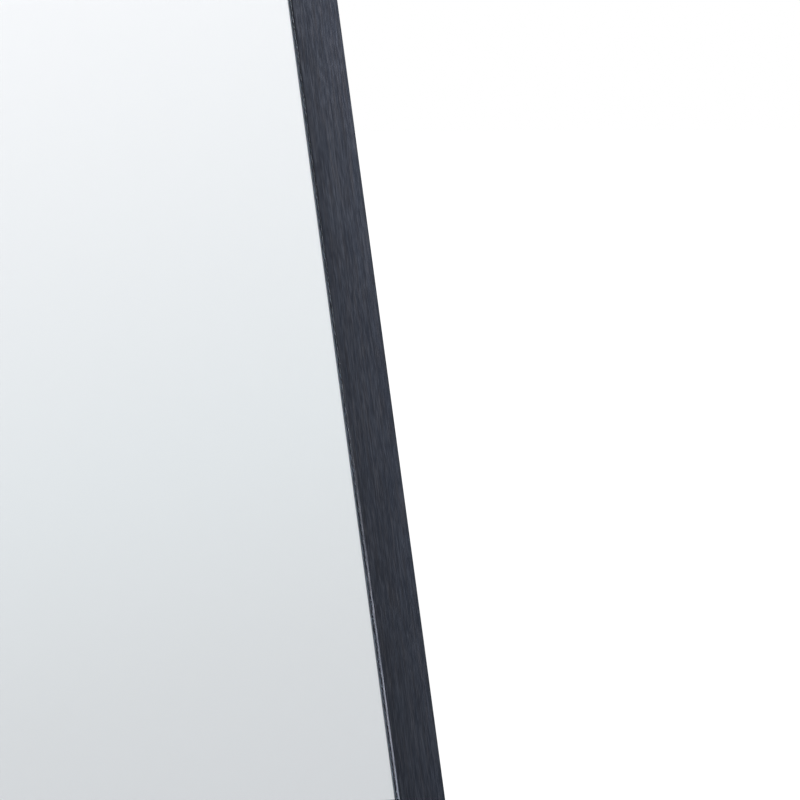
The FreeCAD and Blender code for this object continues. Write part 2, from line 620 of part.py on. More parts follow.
def frame_pieces():
    """Every piece that stays with the frame, upright."""
    pieces = {**frame_bars(), **corner_keys()}
    pieces["glazing_tape"] = glazing_tape()
    pieces["mirror_glass"] = pack_sheet(GLASS_FRONT, GLASS_THICKNESS)
    pieces["silver_film"] = pack_sheet(FILM_FRONT, FILM_THICKNESS)
    pieces["foam_sheet"] = pack_sheet(FOAM_FRONT, FOAM_THICKNESS)
    pieces["backing_board"] = pack_sheet(BOARD_FRONT, BOARD_THICKNESS)
    pieces["bow_springs"] = bow_springs()
    for word, side in SIDES.items():
        pieces[f"{word}_hinge_bracket"] = hinge_bracket(side * LEG_X)
        pieces[f"{word}_nut_plate"] = nut_plate(side * LEG_X)
        pieces[f"{word}_hinge_pin"] = hinge_pin(side)
        pieces[f"{word}_front_foot"] = front_foot(side)
        pieces[f"{word}_hanger_plate"] = hanger_plate(side)
    pieces["pin_clips"] = Part.makeCompound([pin_clip(side) for side in SIDES.values()])
    pieces["hinge_washers"] = hinge_washers()
    for name, points, seat in (
        ("corner_screws", corner_screw_points(), 0),
        ("hinge_screws", hinge_screw_points(), BRACKET_THICKNESS),
        ("hanger_screws", hanger_screw_points(), HANGER_THICKNESS),
    ):
        pieces[name] = Part.makeCompound([screw(p + Y_AXIS * seat, Y_AXIS) for p in points])
    return pieces


def leg_pieces():
    """Every piece that swings with the leg, folded."""
    pieces = {"leg_tube": leg_tube(), "leg_rivets": leg_rivets()}
    for word, side in SIDES.items():
        pieces[f"{word}_leg_head"] = leg_head(side)
        pieces[f"{word}_leg_foot"] = leg_foot(side)
    return pieces


def stand(piece):
    """Leans an upright piece back and sets it on the floor, centred from front to back."""
    piece.rotate(ORIGIN, X_AXIS, -LEAN_DEG)
    piece.translate(FreeCAD.Vector(0, CENTRING, LIFT))
    return piece


def standing_point(point):
    """Where a point of the upright frame is once the frame stands."""
    turned = FreeCAD.Rotation(X_AXIS, -LEAN_DEG).multVec(point)
    return turned + FreeCAD.Vector(0, CENTRING, LIFT)


def build():
    """All pieces in place, with the leg open."""
    pieces = {name: stand(piece) for name, piece in frame_pieces().items()}
    floor_size = 2 * OVERALL_HEIGHT
    floor = block((-floor_size, -floor_size, -floor_size), (floor_size, floor_size, 0))
    for name, piece in leg_pieces().items():
        piece.rotate(PIN_CENTRE, X_AXIS, LEG_OPEN_DEG)
        piece = stand(piece)
        pieces[name] = piece.cut(floor) if name.endswith("leg_foot") else piece
    return pieces


def main():
    os.makedirs("parts", exist_ok=True)
    pieces = build()
    for name, piece in pieces.items():
        if not piece.isValid():
            print("not valid:", name)
        piece.exportStep(os.path.join("parts", f"{name}.step"))
    tube_section = math.pi * (TUBE_RADIUS**2 - (TUBE_RADIUS - TUBE_WALL) ** 2)
    swept = tube_section * leg_path().Length
    print("pieces:", len(pieces))
    print("leg length:", round(LEG_LENGTH, 2), "tube bend radius:", LEG_BEND_RADIUS)
    print("tube volume over section times length:", round(pieces["leg_tube"].Volume / swept, 4))
    print("pin:", standing_point(PIN_CENTRE), "leg foot:", round(LEG_FOOT_FROM_TOE + CENTRING, 2))


if __name__ == "__main__":
    main()
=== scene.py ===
# %% [markdown]
# # A full-length mirror, from bare solids to finished surfaces
# The CAD model already gives every piece of this mirror its shape and its place: four mitred
# aluminium bars round a sheet of silvered glass, and a fold-out leg behind them.
# This lesson loads that model, sets up a small photo studio, and then gives each piece its finish.
# A few pieces whose real surface is moulded, such as the rubber feet, are modelled again with detail.

# %% Load the frame
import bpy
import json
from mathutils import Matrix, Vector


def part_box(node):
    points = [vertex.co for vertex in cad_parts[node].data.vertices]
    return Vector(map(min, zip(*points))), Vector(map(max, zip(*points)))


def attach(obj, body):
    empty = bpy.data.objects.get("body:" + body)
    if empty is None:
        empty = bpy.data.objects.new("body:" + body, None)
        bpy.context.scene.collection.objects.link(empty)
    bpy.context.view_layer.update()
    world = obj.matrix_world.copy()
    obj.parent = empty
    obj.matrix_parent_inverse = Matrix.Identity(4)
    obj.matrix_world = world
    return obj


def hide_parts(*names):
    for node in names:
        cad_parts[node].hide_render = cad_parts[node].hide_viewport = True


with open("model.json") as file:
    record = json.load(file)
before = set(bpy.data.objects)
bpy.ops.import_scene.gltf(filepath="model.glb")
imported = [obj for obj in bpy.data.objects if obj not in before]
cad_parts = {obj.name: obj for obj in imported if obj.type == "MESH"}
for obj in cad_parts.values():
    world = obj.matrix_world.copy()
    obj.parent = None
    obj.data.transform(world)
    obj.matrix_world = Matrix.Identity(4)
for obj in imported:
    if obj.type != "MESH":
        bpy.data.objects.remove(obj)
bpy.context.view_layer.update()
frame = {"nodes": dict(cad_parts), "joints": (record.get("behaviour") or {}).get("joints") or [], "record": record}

import json
import math

import bmesh
import bpy
from mathutils import Vector

# %% [markdown]
# ## Which way the mirror leans
# The frame leans back on its leg, so "up the stile" isn't straight up. The keyholes in its back are
# drilled square to the glass, and the record keeps their direction, so the lean is read from one of
# them instead of being typed again here.

# %% Directions along the leaning frame
MM = 0.001
FRAME_DEPTH = 25 * MM
mounts = {mount["name"]: mount for mount in frame["record"]["mounts"]}
BACK_WAY = Vector(mounts["left_keyhole"]["axis"]).normalized()
UP_WAY = Vector((0, -BACK_WAY.z, BACK_WAY.y))
LEAN = math.asin(UP_WAY.y)
TOE_LIFT = FRAME_DEPTH * math.sin(LEAN)
stile_low, stile_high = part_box("right_stile")
RIGHT_TOE = Vector((stile_high.x, stile_low.y, stile_low.z + TOE_LIFT))
print("lean in degrees:", round(math.degrees(LEAN), 2), "front lower right corner:", RIGHT_TOE)

# %% [markdown]
# ## The camera
# The picture is a close view of the lower right stile, taken from the left and from a little above
# the aim point. A long lens far away keeps the two edges of the stile nearly parallel.
# The camera is placed by its angles and distance from a point beside that stile.

# %% Camera
CAMERA_LEFT_DEG = 30.5714
CAMERA_ABOVE_DEG = 1.9933
CAMERA_DISTANCE = 6.25438
CAMERA_LENS = 430.301
CAMERA_REACH = 200.0
AIM_BESIDE_STILE = 6.468 * MM
AIM_UP_STILE = 299.4 * MM
aim = RIGHT_TOE + Vector((AIM_BESIDE_STILE, 0, 0)) + UP_WAY * AIM_UP_STILE
turn = math.radians(CAMERA_LEFT_DEG)
rise = math.radians(CAMERA_ABOVE_DEG)
to_camera = Vector((-math.sin(turn) * math.cos(rise), -math.cos(turn) * math.cos(rise), math.sin(rise)))
camera = bpy.data.objects.new("camera", bpy.data.cameras.new("camera"))
bpy.context.collection.objects.link(camera)
camera.data.lens = CAMERA_LENS
camera.data.clip_end = CAMERA_REACH
camera.location = aim + to_camera * CAMERA_DISTANCE
camera.rotation_euler = (-to_camera).to_track_quat("-Z", "Y").to_euler()
bpy.context.scene.camera = camera
bpy.context.scene.view_settings.view_transform = "Standard"
print("camera at:", camera.location)

# %% [markdown]
# ## Nodes by hand
# Every material and the studio itself are node trees. One helper adds a node and fills its inputs,
# either with a plain value or with the output that feeds it, which keeps the later cells short. The
# other helpers are the few kinds of node that come up again and again.

# %% A helper that adds a node


def add(tree, kind, inputs=None, **settings):
    """Adds a node, sets its options, and gives each named input a value or a link."""
    node = tree.nodes.new(kind)
    for option, value in settings.items():
        setattr(node, option, value)
    for socket, value in (inputs or {}).items():
        if isinstance(value, bpy.types.NodeSocket):
            tree.links.new(value, node.inputs[socket])
        else:
            node.inputs[socket].default_value = value
    return node


def math_node(tree, operation, *values):
    """One Math node on plain values and outputs, in order."""
    return add(tree, "ShaderNodeMath", dict(enumerate(values)), operation=operation).outputs[0]


def vector_node(tree, operation, *values):
    """One Vector Math node on vectors, in order: its outputs, named Vector and Value."""
    return add(tree, "ShaderNodeVectorMath", dict(enumerate(values)), operation=operation).outputs


def scaled(tree, vector, factor):
    """A vector or a colour times one number."""
    inputs = {"Vector": vector, "Scale": factor}
    return add(tree, "ShaderNodeVectorMath", inputs, operation="SCALE").outputs["Vector"]


print("node helpers ready")

# %% Helpers for ranges and colours
# The Mix node has sockets for every kind of value, and these are the numbers of its colour sockets.
MIX_FACTOR = 0
MIX_FIRST = 6
MIX_SECOND = 7
MIX_RESULT = 2


def mix_colours(tree, factor, first, second):
    """Blends two colours by a factor."""
    inputs = {MIX_FACTOR: factor, MIX_FIRST: first, MIX_SECOND: second}
    return add(tree, "ShaderNodeMix", inputs, data_type="RGBA").outputs[MIX_RESULT]


def spread(tree, value, low, high, to_low=0.0, to_high=1.0, shape="LINEAR"):
    """Maps low to high onto another range, cut off at its ends."""
    inputs = {"Value": value, "From Min": low, "From Max": high, "To Min": to_low, "To Max": to_high}
    return add(tree, "ShaderNodeMapRange", inputs, interpolation_type=shape).outputs["Result"]


def seen_directly(tree):
    """Two masks: rays from the camera, and those with rays in reflections and through glass."""
    path = add(tree, "ShaderNodeLightPath").outputs
    shiny = math_node(tree, "MAXIMUM", path["Is Glossy Ray"], path["Is Transmission Ray"])
    return path["Is Camera Ray"], math_node(tree, "MAXIMUM", path["Is Camera Ray"], shiny)


print("range and colour helpers ready")

# %% Helpers for materials


def start_material(name, constants):
    """A new Principled material: itself, its tree and its shader, with plain values on the sockets."""
    material = bpy.data.materials.new(name)
    material.use_nodes = True
    shader = material.node_tree.nodes["Principled BSDF"]
    for socket, value in constants.items():
        shader.inputs[socket].default_value = value
    return material, material.node_tree, shader


def feed(tree, shader, outputs):
    """Links outputs to the shader's sockets by name."""
    for socket, output in outputs.items():
        tree.links.new(output, shader.inputs[socket])


print("material helpers ready")

# %% [markdown]
# ## What the mirror looks at
# A mirror has no colour of its own, so the studio round it decides how it looks. The glass shows a
# cool pale wash that gets whiter towards the top, as from a lit wall that fades towards the floor.
# At its foot the wall takes on the floor's own tone, so that no hard line shows where the two meet.
# The world is that wall: a colour ramp on the direction's height for reflections, with a bright band
# in front and above what the mirror shows, which runs a sheen down the brushed bars. The camera sees
# plain white instead, and soft light has an even level. A modelled wall could do this too, but it
# would have edges, and it would stand in the way when the mirror is seen from behind.

# %% The lit wall
WALL_SHADES = [
    (0.00, (0.57, 0.57, 0.57)),
    (0.10, (0.50, 0.525, 0.545)),
    (0.27, (0.56, 0.585, 0.61)),
    (0.365, (0.695, 0.706, 0.735)),
    (0.38, (0.738, 0.752, 0.778)),
    (0.40, (0.820, 0.845, 0.874)),
    (0.445, (1.010, 1.010, 1.040)),
    (0.52, (1.03, 1.01, 1.02)),
    (1.00, (0.62, 0.64, 0.66)),
]
world = bpy.data.worlds.new("studio")
bpy.context.scene.world = world
world.use_nodes = True
sky = world.node_tree
direction = add(sky, "ShaderNodeTexCoord").outputs["Generated"]
_, backwards, height = add(sky, "ShaderNodeSeparateXYZ", {0: direction}).outputs
wall_ramp = add(sky, "ShaderNodeValToRGB", {0: height})
shades = wall_ramp.color_ramp.elements
while len(shades) < len(WALL_SHADES):
    shades.new(1.0)
for shade, (place, colour) in zip(shades, WALL_SHADES):
    shade.position = place
    shade.color = (*colour, 1)
print("wall shades:", len(shades))

# %% The bright band and the soft light
BAND_LEVEL = 6.0
BAND_RISE = (0.445, 0.49)
BAND_FALL = (0.67, 0.57)
BAND_FRONT = (0.42, 0.62)
SOFT_LIGHT = (0.62, 0.62, 0.62, 1)
WHITE = (1, 1, 1, 1)
band = math_node(
    sky, "MULTIPLY",
    spread(sky, height, *BAND_RISE, shape="SMOOTHSTEP"),
    spread(sky, height, *BAND_FALL, shape="SMOOTHSTEP"),
)
forwards = math_node(sky, "MULTIPLY", backwards, -1.0)
band = math_node(sky, "MULTIPLY", band, spread(sky, forwards, *BAND_FRONT, shape="SMOOTHSTEP"))
band = math_node(sky, "MULTIPLY_ADD", band, BAND_LEVEL - 1, 1.0)
bright_wall = scaled(sky, wall_ramp.outputs["Color"], band)
is_camera, is_seen = seen_directly(sky)
lit = mix_colours(sky, is_seen, SOFT_LIGHT, bright_wall)
shown = mix_colours(sky, is_camera, lit, WHITE)
sky.links.new(shown, sky.nodes["Background"].inputs["Color"])
print("band level:", BAND_LEVEL, "soft light:", SOFT_LIGHT[0])

# %% [markdown]
# ## The floor
# The mirror needs something to stand on, and the picture needs a white ground. A very large pale
# sheet gives both: it glows a little for the camera, so that lit floor reads as white, and it stays
# a matt surface for light, so that the shadow under the mirror is kept. In reflections it glows less,
# so that seen from above the silvered glass is a shade darker than the floor and isn't lost in it.

# %% Floor
FLOOR_SIDE = 120.0
FLOOR_PALE = (0.80, 0.80, 0.80, 1)
GLOW_DISTANCES = (1.5, 6.0)
GLOW_LEVELS = (0.42, 0.62)
GLOW_REFLECTED = 0.12
bpy.ops.object.select_all(action="DESELECT")
bpy.ops.mesh.primitive_plane_add(size=FLOOR_SIDE)
floor = bpy.context.object
floor.name = "floor"
floor_sheet, tree, shader = start_material("floor_sheet", {
    "Base Color": FLOOR_PALE, "Roughness": 1.0, "Specular IOR Level": 0.0, "Emission Color": WHITE})
place = add(tree, "ShaderNodeTexCoord").outputs["Object"]
distance = vector_node(tree, "LENGTH", place)["Value"]
glow = spread(tree, distance, *GLOW_DISTANCES, *GLOW_LEVELS, shape="SMOOTHSTEP")
is_camera, is_seen = seen_directly(tree)
share = math_node(tree, "MAXIMUM", is_camera, math_node(tree, "MULTIPLY", is_seen, GLOW_REFLECTED))
feed(tree, shader, {"Emission Strength": math_node(tree, "MULTIPLY", glow, share)})
floor.data.materials.append(floor_sheet)
print("floor side in metres:", FLOOR_SIDE)

# %% [markdown]
# ## Lamps
# Two soft boxes: a large one high in front and to the right, which lights the whole mirror and throws
# a soft shadow, and a small low one at the left, which catches the thin inner edge of the stile
# beside the glass. Point lamps would throw hard shadows, so both are area lamps. The camera sees
# neither box, and nothing mirrors the large one.

# %% Soft boxes
KEY_PLACE = (1.7, -2.3, 2.7)
KEY_TARGET = (0.1, -0.1, 0.5)
KEY_SIDE = 1.4
KEY_POWER = 60
EDGE_PLACE = (-0.94, -0.815, 0.36)
EDGE_TARGET = (0.165, -0.23, 0.03)
EDGE_SIDE = 0.4
EDGE_POWER = 8.8
EDGE_COLOUR = (1.0, 0.94, 0.89)


def soft_box(name, place, target, side, power):
    """A square area lamp that shines from a place towards a target."""
    lamp = bpy.data.lights.new(name, "AREA")
    lamp.size = side
    lamp.energy = power
    box = bpy.data.objects.new(name, lamp)
    bpy.context.collection.objects.link(box)
    box.location = place
    box.rotation_euler = (Vector(target) - Vector(place)).to_track_quat("-Z", "Y").to_euler()
    box.visible_camera = False
    box.visible_transmission = False
    return box


key_box = soft_box("key_box", KEY_PLACE, KEY_TARGET, KEY_SIDE, KEY_POWER)
key_box.visible_glossy = False
edge_box = soft_box("edge_box", EDGE_PLACE, EDGE_TARGET, EDGE_SIDE, EDGE_POWER)
edge_box.data.color = EDGE_COLOUR
print("soft boxes:", key_box.name, edge_box.name)

# %% [markdown]
# ## Shared effects
# Several finishes share the same few effects: brushing, a fine grain, an uneven tone, softened
# edges and dust. Each is a shader group that is built once, so a material only sets its own sizes.
# The groups put out plain masks and normals. The shaders stay in the materials.

# %% Helpers for groups


def new_group(name, inputs, outputs):
    """An empty shader group with named sockets: its tree, its inputs and its output node."""
    group = bpy.data.node_groups.new(name, "ShaderNodeTree")
    for title, kind in inputs:
        group.interface.new_socket(title, in_out="INPUT", socket_type="NodeSocket" + kind)
    for title, kind in outputs:
        group.interface.new_socket(title, in_out="OUTPUT", socket_type="NodeSocket" + kind)
    return group, add(group, "NodeGroupInput").outputs, add(group, "NodeGroupOutput")


def noise(tree, vector, detail):
    """A noise whose grain is one unit of the coordinates that it reads."""
    inputs = {"Vector": vector, "Scale": 1.0, "Detail": detail}
    return add(tree, "ShaderNodeTexNoise", inputs).outputs[0]


print("group helpers ready")

# %% [markdown]
# ## Group: brushed lines
# Brushing leaves fine scratches of many lengths side by side. A noise that is stretched far along
# the bar gives that. Five of them are added, from thin hairlines to long broad bands, because one
# alone looks like wood grain. A power then makes the light lines rarer than the dark ground.

# %% Brushed lines
# Each kind of scratch has a width and a length, as multiples of the group's own, and a share.
SCRATCHES = [
    (0.12, 1.6, 0.40),
    (0.32, 0.6, 0.56),
    (0.40, 1.8, 0.36),
    (1.0, 6.0, 0.11),
    (4.0, 14.0, 0.10),
]
SCRATCH_DETAIL = 1.0
SCRATCH_MIDDLE = sum(share for _, _, share in SCRATCHES) / 2
SCRATCH_REACH = 0.14
SCRATCH_POWER = 1.8
brushed_lines, given, result = new_group(
    "brushed_lines",
    [("Vector", "Vector"), ("Width", "Float"), ("Length", "Float")],
    [("Lines", "Float")],
)
sides = {0: given["Width"], 1: given["Width"], 2: given["Length"]}
own_size = add(brushed_lines, "ShaderNodeCombineXYZ", sides).outputs[0]
lines = 0.0
for width, length, share in SCRATCHES:
    size = vector_node(brushed_lines, "MULTIPLY", own_size, (width, width, length))["Vector"]
    stretched = vector_node(brushed_lines, "DIVIDE", given["Vector"], size)["Vector"]
    streaks = noise(brushed_lines, stretched, SCRATCH_DETAIL)
    lines = math_node(brushed_lines, "MULTIPLY_ADD", streaks, share, lines)
lines = spread(brushed_lines, lines, SCRATCH_MIDDLE - SCRATCH_REACH, SCRATCH_MIDDLE + SCRATCH_REACH)
lines = math_node(brushed_lines, "POWER", lines, SCRATCH_POWER)
brushed_lines.links.new(lines, result.inputs["Lines"])
print("group:", brushed_lines.name, "kinds of scratch:", len(SCRATCHES))

# %% [markdown]
# ## Group: grain and tone
# Powder coat, moulded nylon, rubber, foam and castings are all finely pebbled, and none of them is
# the same tone all over. One group gives both: a fine grain for the bump, because the pebbles are far
# too small to model, and a broad cloud for the colour and the gloss.

# %% Grain and tone
GRAIN_DETAIL = 1.0
TONE_DETAIL = 3.0
SPECKLE_RANGE = (0.32, 0.68)
grain_and_tone, given, result = new_group(
    "grain_and_tone",
    [("Vector", "Vector"), ("Grain Size", "Float"), ("Cloud Size", "Float")],
    [("Grain", "Float"), ("Tone", "Float")],
)
for size, title, detail in (("Grain Size", "Grain", GRAIN_DETAIL), ("Cloud Size", "Tone", TONE_DETAIL)):
    many = math_node(grain_and_tone, "DIVIDE", 1.0, given[size])
    speckle = noise(grain_and_tone, scaled(grain_and_tone, given["Vector"], many), detail)
    grain_and_tone.links.new(spread(grain_and_tone, speckle, *SPECKLE_RANGE), result.inputs[title])
print("group:", grain_and_tone.name)

# %% [markdown]
# ## Group: soft edges
# No real edge is perfectly sharp, and an edge that is handled is rubbed a little brighter. The CAD
# meshes keep their sharp edges, so this is done in the shader. The Bevel node looks round each point
# for other faces nearby and gives the normal of a rounded edge. Where that normal differs from the
# face's own, there is an edge.

# %% Soft edges
EDGE_SAMPLES = 6
EDGE_AGREES = (0.995, 0.90)
soft_edges, given, result = new_group(
    "soft_edges",
    [("Radius", "Float")],
    [("Normal", "Vector"), ("Edge", "Float")],
)
reach = {"Radius": given["Radius"]}
rounded = add(soft_edges, "ShaderNodeBevel", reach, samples=EDGE_SAMPLES).outputs[0]
own = add(soft_edges, "ShaderNodeNewGeometry").outputs["Normal"]
agree = vector_node(soft_edges, "DOT_PRODUCT", rounded, own)["Value"]
soft_edges.links.new(rounded, result.inputs["Normal"])
soft_edges.links.new(spread(soft_edges, agree, *EDGE_AGREES), result.inputs["Edge"])
print("group:", soft_edges.name)

# %% [markdown]
# ## Group: settled dust
# A mirror that stands on the floor gathers a little dust on what faces up, and its feet scuff up to
# a few millimetres above the floor. The group reads the way a face points and its height, so the dust
# finds its own places and no mask has to be painted.

# %% Settled dust
BLOTCH_DETAIL = 4.0
BLOTCH_RANGE = (0.35, 0.70)
LYING_RANGE = (0.25, 1.0)
settled_dust, given, result = new_group(
    "settled_dust",
    [("Vector", "Vector"), ("Patch Size", "Float"), ("Scuff Height", "Float")],
    [("Dust", "Float")],
)
many = math_node(settled_dust, "DIVIDE", 1.0, given["Patch Size"])
blotch = noise(settled_dust, scaled(settled_dust, given["Vector"], many), BLOTCH_DETAIL)
blotch = spread(settled_dust, blotch, *BLOTCH_RANGE)
own = add(settled_dust, "ShaderNodeNewGeometry").outputs["Normal"]
facing = add(settled_dust, "ShaderNodeSeparateXYZ", {0: own}).outputs["Z"]
lying = spread(settled_dust, facing, *LYING_RANGE)
above = add(settled_dust, "ShaderNodeSeparateXYZ", {0: given["Vector"]}).outputs["Z"]
share = math_node(settled_dust, "DIVIDE", above, given["Scuff Height"])
near_floor = spread(settled_dust, share, 1.0, 0.0)
reached = math_node(settled_dust, "MAXIMUM", lying, near_floor)
settled_dust.links.new(math_node(settled_dust, "MULTIPLY", blotch, reached), result.inputs["Dust"])
print("group:", settled_dust.name)

# %% [markdown]
# ## Helpers for finishes
# A finish is one Principled material. Values that are the same all over are set on its sockets, and
# only what changes over the surface is linked. Patterns read Object coordinates, so they stay on the
# piece when it moves, and each shared group is placed with its sizes by a short helper.

# %% Coordinates, effects and bumps


def turned_to(tree, vector, turned):
    """Coordinates turned so that a chosen direction becomes Z."""
    inputs = {"Vector": vector, "Rotation": turned}
    return add(tree, "ShaderNodeMapping", inputs, vector_type="TEXTURE").outputs[0]


def object_place(tree, turned=(0, 0, 0)):
    """Object coordinates in metres, turned so that a chosen direction becomes Z."""
    return turned_to(tree, add(tree, "ShaderNodeTexCoord").outputs["Object"], turned)


def effect(tree, group, inputs):
    """Places a shared group and gives its outputs."""
    return add(tree, "ShaderNodeGroup", inputs, node_tree=group).outputs


def bump(tree, shader, height, distance, strength=1.0, normal=None):
    """Feeds a height into the shader's normal, on top of another normal where one is given."""
    inputs = {"Height": height, "Distance": distance, "Strength": strength}
    if normal is not None:
        inputs["Normal"] = normal
    feed(tree, shader, {"Normal": add(tree, "ShaderNodeBump", inputs).outputs[0]})


print("finish helpers ready")

# %% The shared groups at their sizes


def lines_along(tree, turned, width, length):
    """Brushed lines along the direction that becomes Z."""
    inputs = {"Vector": object_place(tree, turned), "Width": width, "Length": length}
    return effect(tree, brushed_lines, inputs)["Lines"]


def pebbled(tree, grain, cloud):
    """The fine grain and the broad tone of a surface."""
    inputs = {"Vector": object_place(tree), "Grain Size": grain, "Cloud Size": cloud}
    return effect(tree, grain_and_tone, inputs)


def dusty(tree, patch, scuff):
    """Where dust lies, in patches, and up to a height above the floor."""
    inputs = {"Vector": object_place(tree), "Patch Size": patch, "Scuff Height": scuff}
    return effect(tree, settled_dust, inputs)["Dust"]


def dress(material, *nodes):
    """Gives CAD nodes one material."""
    for node in nodes:
        mesh = frame["nodes"][node].data
        mesh.materials.clear()
        mesh.materials.append(material)


print("groups:", [group.name for group in (brushed_lines, grain_and_tone, soft_edges, settled_dust)])

# %% [markdown]
# ## Black anodised bars
# The bars are aluminium, brushed along their length and then anodised black: a dyed glassy skin over
# brushed metal. So the finish is dark metal under a coat, and the coat shines more at a glancing
# view, as on the thin inner side of the lip. A plain black plastic would miss that depth. The dye is a
# little browner in long patches. The bars also carry painted shade and painted light: their colour is
# darker beside the glass opening and lighter towards their outer side. The stiles are brushed upwards
# and the rails sideways, as four separate bars are before they are mitred, and a dark hairline shows
# where two bars meet.

# %% Where a point lies on the frame
UP_STILE = (-LEAN, 0, 0)
FACE_WIDTH = 35 * MM
left_low, left_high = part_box("left_stile")
HALF_WIDTH = -left_low.x
HALF_HEIGHT = (left_high.z - left_low.z - TOE_LIFT) / math.cos(LEAN) / 2
MIDDLE_UP = ((left_low + left_high) / 2).dot(UP_WAY)


def past_opening(tree):
    """How far a point lies outside the glass opening: sideways, and up or down."""
    x, _, z = add(tree, "ShaderNodeSeparateXYZ", {0: object_place(tree, UP_STILE)}).outputs
    sideways = math_node(tree, "SUBTRACT", math_node(tree, "ABSOLUTE", x), HALF_WIDTH - FACE_WIDTH)
    from_middle = math_node(tree, "ABSOLUTE", math_node(tree, "SUBTRACT", z, MIDDLE_UP))
    return sideways, math_node(tree, "SUBTRACT", from_middle, HALF_HEIGHT - FACE_WIDTH)


print("frame half width and half height:", round(HALF_WIDTH, 4), round(HALF_HEIGHT, 4))

# %% The colour of the bars
# A line or a patch has a width and a length.
BAR_DARK = (0.0119, 0.0142, 0.0202, 1)
BAR_LIGHT = (0.0304, 0.0347, 0.0464, 1)
# Painted shade beside the opening and painted light at the outer side: the bars' colour is scaled from the first
# to the second.
PAINTED_SHADE_AT_OPENING = 0.80
PAINTED_LIGHT_OUTSIDE = 1.17
BAR_EDGE = (0.040, 0.046, 0.060, 1)
BAR_EDGE_RADIUS = 0.6 * MM
BAR_EDGE_SHARE = 0.3
DYE_COOL = (0.95, 1.0, 1.04, 1)
DYE_WARM = (1.07, 1.0, 0.94, 1)
DYE_PATCH = (5 * MM, 30 * MM)


def bar_colour(tree, turned, lines, outwards):
    """Black along brushed lines, dyed in patches, with painted shade at the opening and painted light outwards,
    and lighter along rubbed edges.
    """
    black = mix_colours(tree, lines, BAR_DARK, BAR_LIGHT)
    # Painted shade and painted light: the colour is darker beside the opening and lighter towards the outer side.
    black = scaled(tree, black, spread(tree, outwards, 0, FACE_WIDTH, PAINTED_SHADE_AT_OPENING, PAINTED_LIGHT_OUTSIDE))
    dye = mix_colours(tree, lines_along(tree, turned, *DYE_PATCH), DYE_COOL, DYE_WARM)
    black = vector_node(tree, "MULTIPLY", black, dye)["Vector"]
    edge = effect(tree, soft_edges, {"Radius": BAR_EDGE_RADIUS})["Edge"]
    return mix_colours(tree, math_node(tree, "MULTIPLY", edge, BAR_EDGE_SHARE), black, BAR_EDGE)


print("bar colours, dark and light:", BAR_DARK[:3], BAR_LIGHT[:3])

# %% Bars
# Roughness and coat run from the dark ground to the light lines.
ALONG_RAIL = (0, math.radians(90), 0)
BAR_LINE = (1.2 * MM, 13 * MM)
BAR_LINE_DEPTH = 0.02 * MM
BAR_LINE_STRENGTH = 0.5
BAR_ROUGHNESS = (0.26, 0.20)
BAR_COAT = (0.12, 0.36)
SEAM_DARK = (0.0015, 0.0016, 0.0020, 1)
SEAM_WIDTH = 0.22 * MM


def brushed_black(name, turned):
    """Dark brushed metal under a dyed coat, with its lines along the direction that becomes Z."""
    material, tree, shader = start_material(name, {
        "Metallic": 1.0, "Coat Roughness": 0.22, "Coat IOR": 1.5})
    lines = lines_along(tree, turned, *BAR_LINE)
    sideways, upright = past_opening(tree)
    outwards = math_node(tree, "MAXIMUM", sideways, upright)
    black = bar_colour(tree, turned, lines, outwards)
    off_mitre = math_node(tree, "ABSOLUTE", math_node(tree, "SUBTRACT", sideways, upright))
    bar = spread(tree, off_mitre, SEAM_WIDTH / 2, SEAM_WIDTH)
    coat = spread(tree, lines, 0, 1, *BAR_COAT)
    feed(tree, shader, {
        "Base Color": mix_colours(tree, bar, SEAM_DARK, black),
        "Roughness": spread(tree, lines, 0, 1, *BAR_ROUGHNESS),
        "Coat Weight": math_node(tree, "MULTIPLY", coat, bar),
    })
    bump(tree, shader, lines, BAR_LINE_DEPTH, BAR_LINE_STRENGTH)
    return material


dress(brushed_black("stile_black", UP_STILE), "left_stile", "right_stile")
dress(brushed_black("rail_black", ALONG_RAIL), "top_rail", "bottom_rail")
print("stiles and rails dressed")

# %% [markdown]
# ## Silvered glass
# A mirror is a clear sheet of glass with silver on its back, so the lip of the frame shows twice
# beside its edge, once itself and once in the silver. One mirrored face would be simpler, but it
# would lose that double edge, so the glass is a real sheet here, faintly green as float glass is. The
# silver behind it is smooth metal in the faintest of clouds, with the very slight waviness that a
# drawn sheet has, which only shows where it reflects a straight line.

# %% Glass and silver
GLASS_TINT = (0.975, 0.985, 0.982, 1)
SILVER_DULL = (0.966, 0.966, 0.967, 1)
SILVER_BRIGHT = (0.974, 0.974, 0.973, 1)
CLOUD_LENGTH = 300 * MM
WAVE_LENGTH = 120 * MM
WAVE_HEIGHT = 0.015 * MM
SHEET_DETAIL = 0.0
glass, *_ = start_material("float_glass", {
    "Base Color": GLASS_TINT, "Roughness": 0.0, "IOR": 1.52, "Transmission Weight": 1.0})
silver, tree, shader = start_material("silver", {"Metallic": 1.0, "Roughness": 0.0})
clouds = noise(tree, scaled(tree, object_place(tree), 1 / CLOUD_LENGTH), SHEET_DETAIL)
waves = noise(tree, scaled(tree, object_place(tree), 1 / WAVE_LENGTH), SHEET_DETAIL)
feed(tree, shader, {"Base Color": mix_colours(tree, clouds, SILVER_DULL, SILVER_BRIGHT)})
bump(tree, shader, waves, WAVE_HEIGHT)
dress(glass, "mirror_glass")
dress(silver, "silver_film")
print("materials:", glass.name, silver.name)

# %% [markdown]
# ## Tape and foam
# The glass is cushioned on a thin grey foam tape under the lip and on a white foam sheet behind it.
# Both are closed-cell foam: matt, with fine cells. One function makes both, because only their tones
# and cells differ. Only the tape shows, as the dark line where the glass meets the frame.

# %% Tape and foam
FOAM_CLOUD = 30 * MM
FOAM_ROUGHNESS = (0.95, 0.80)
CELL_DEPTH = 0.15


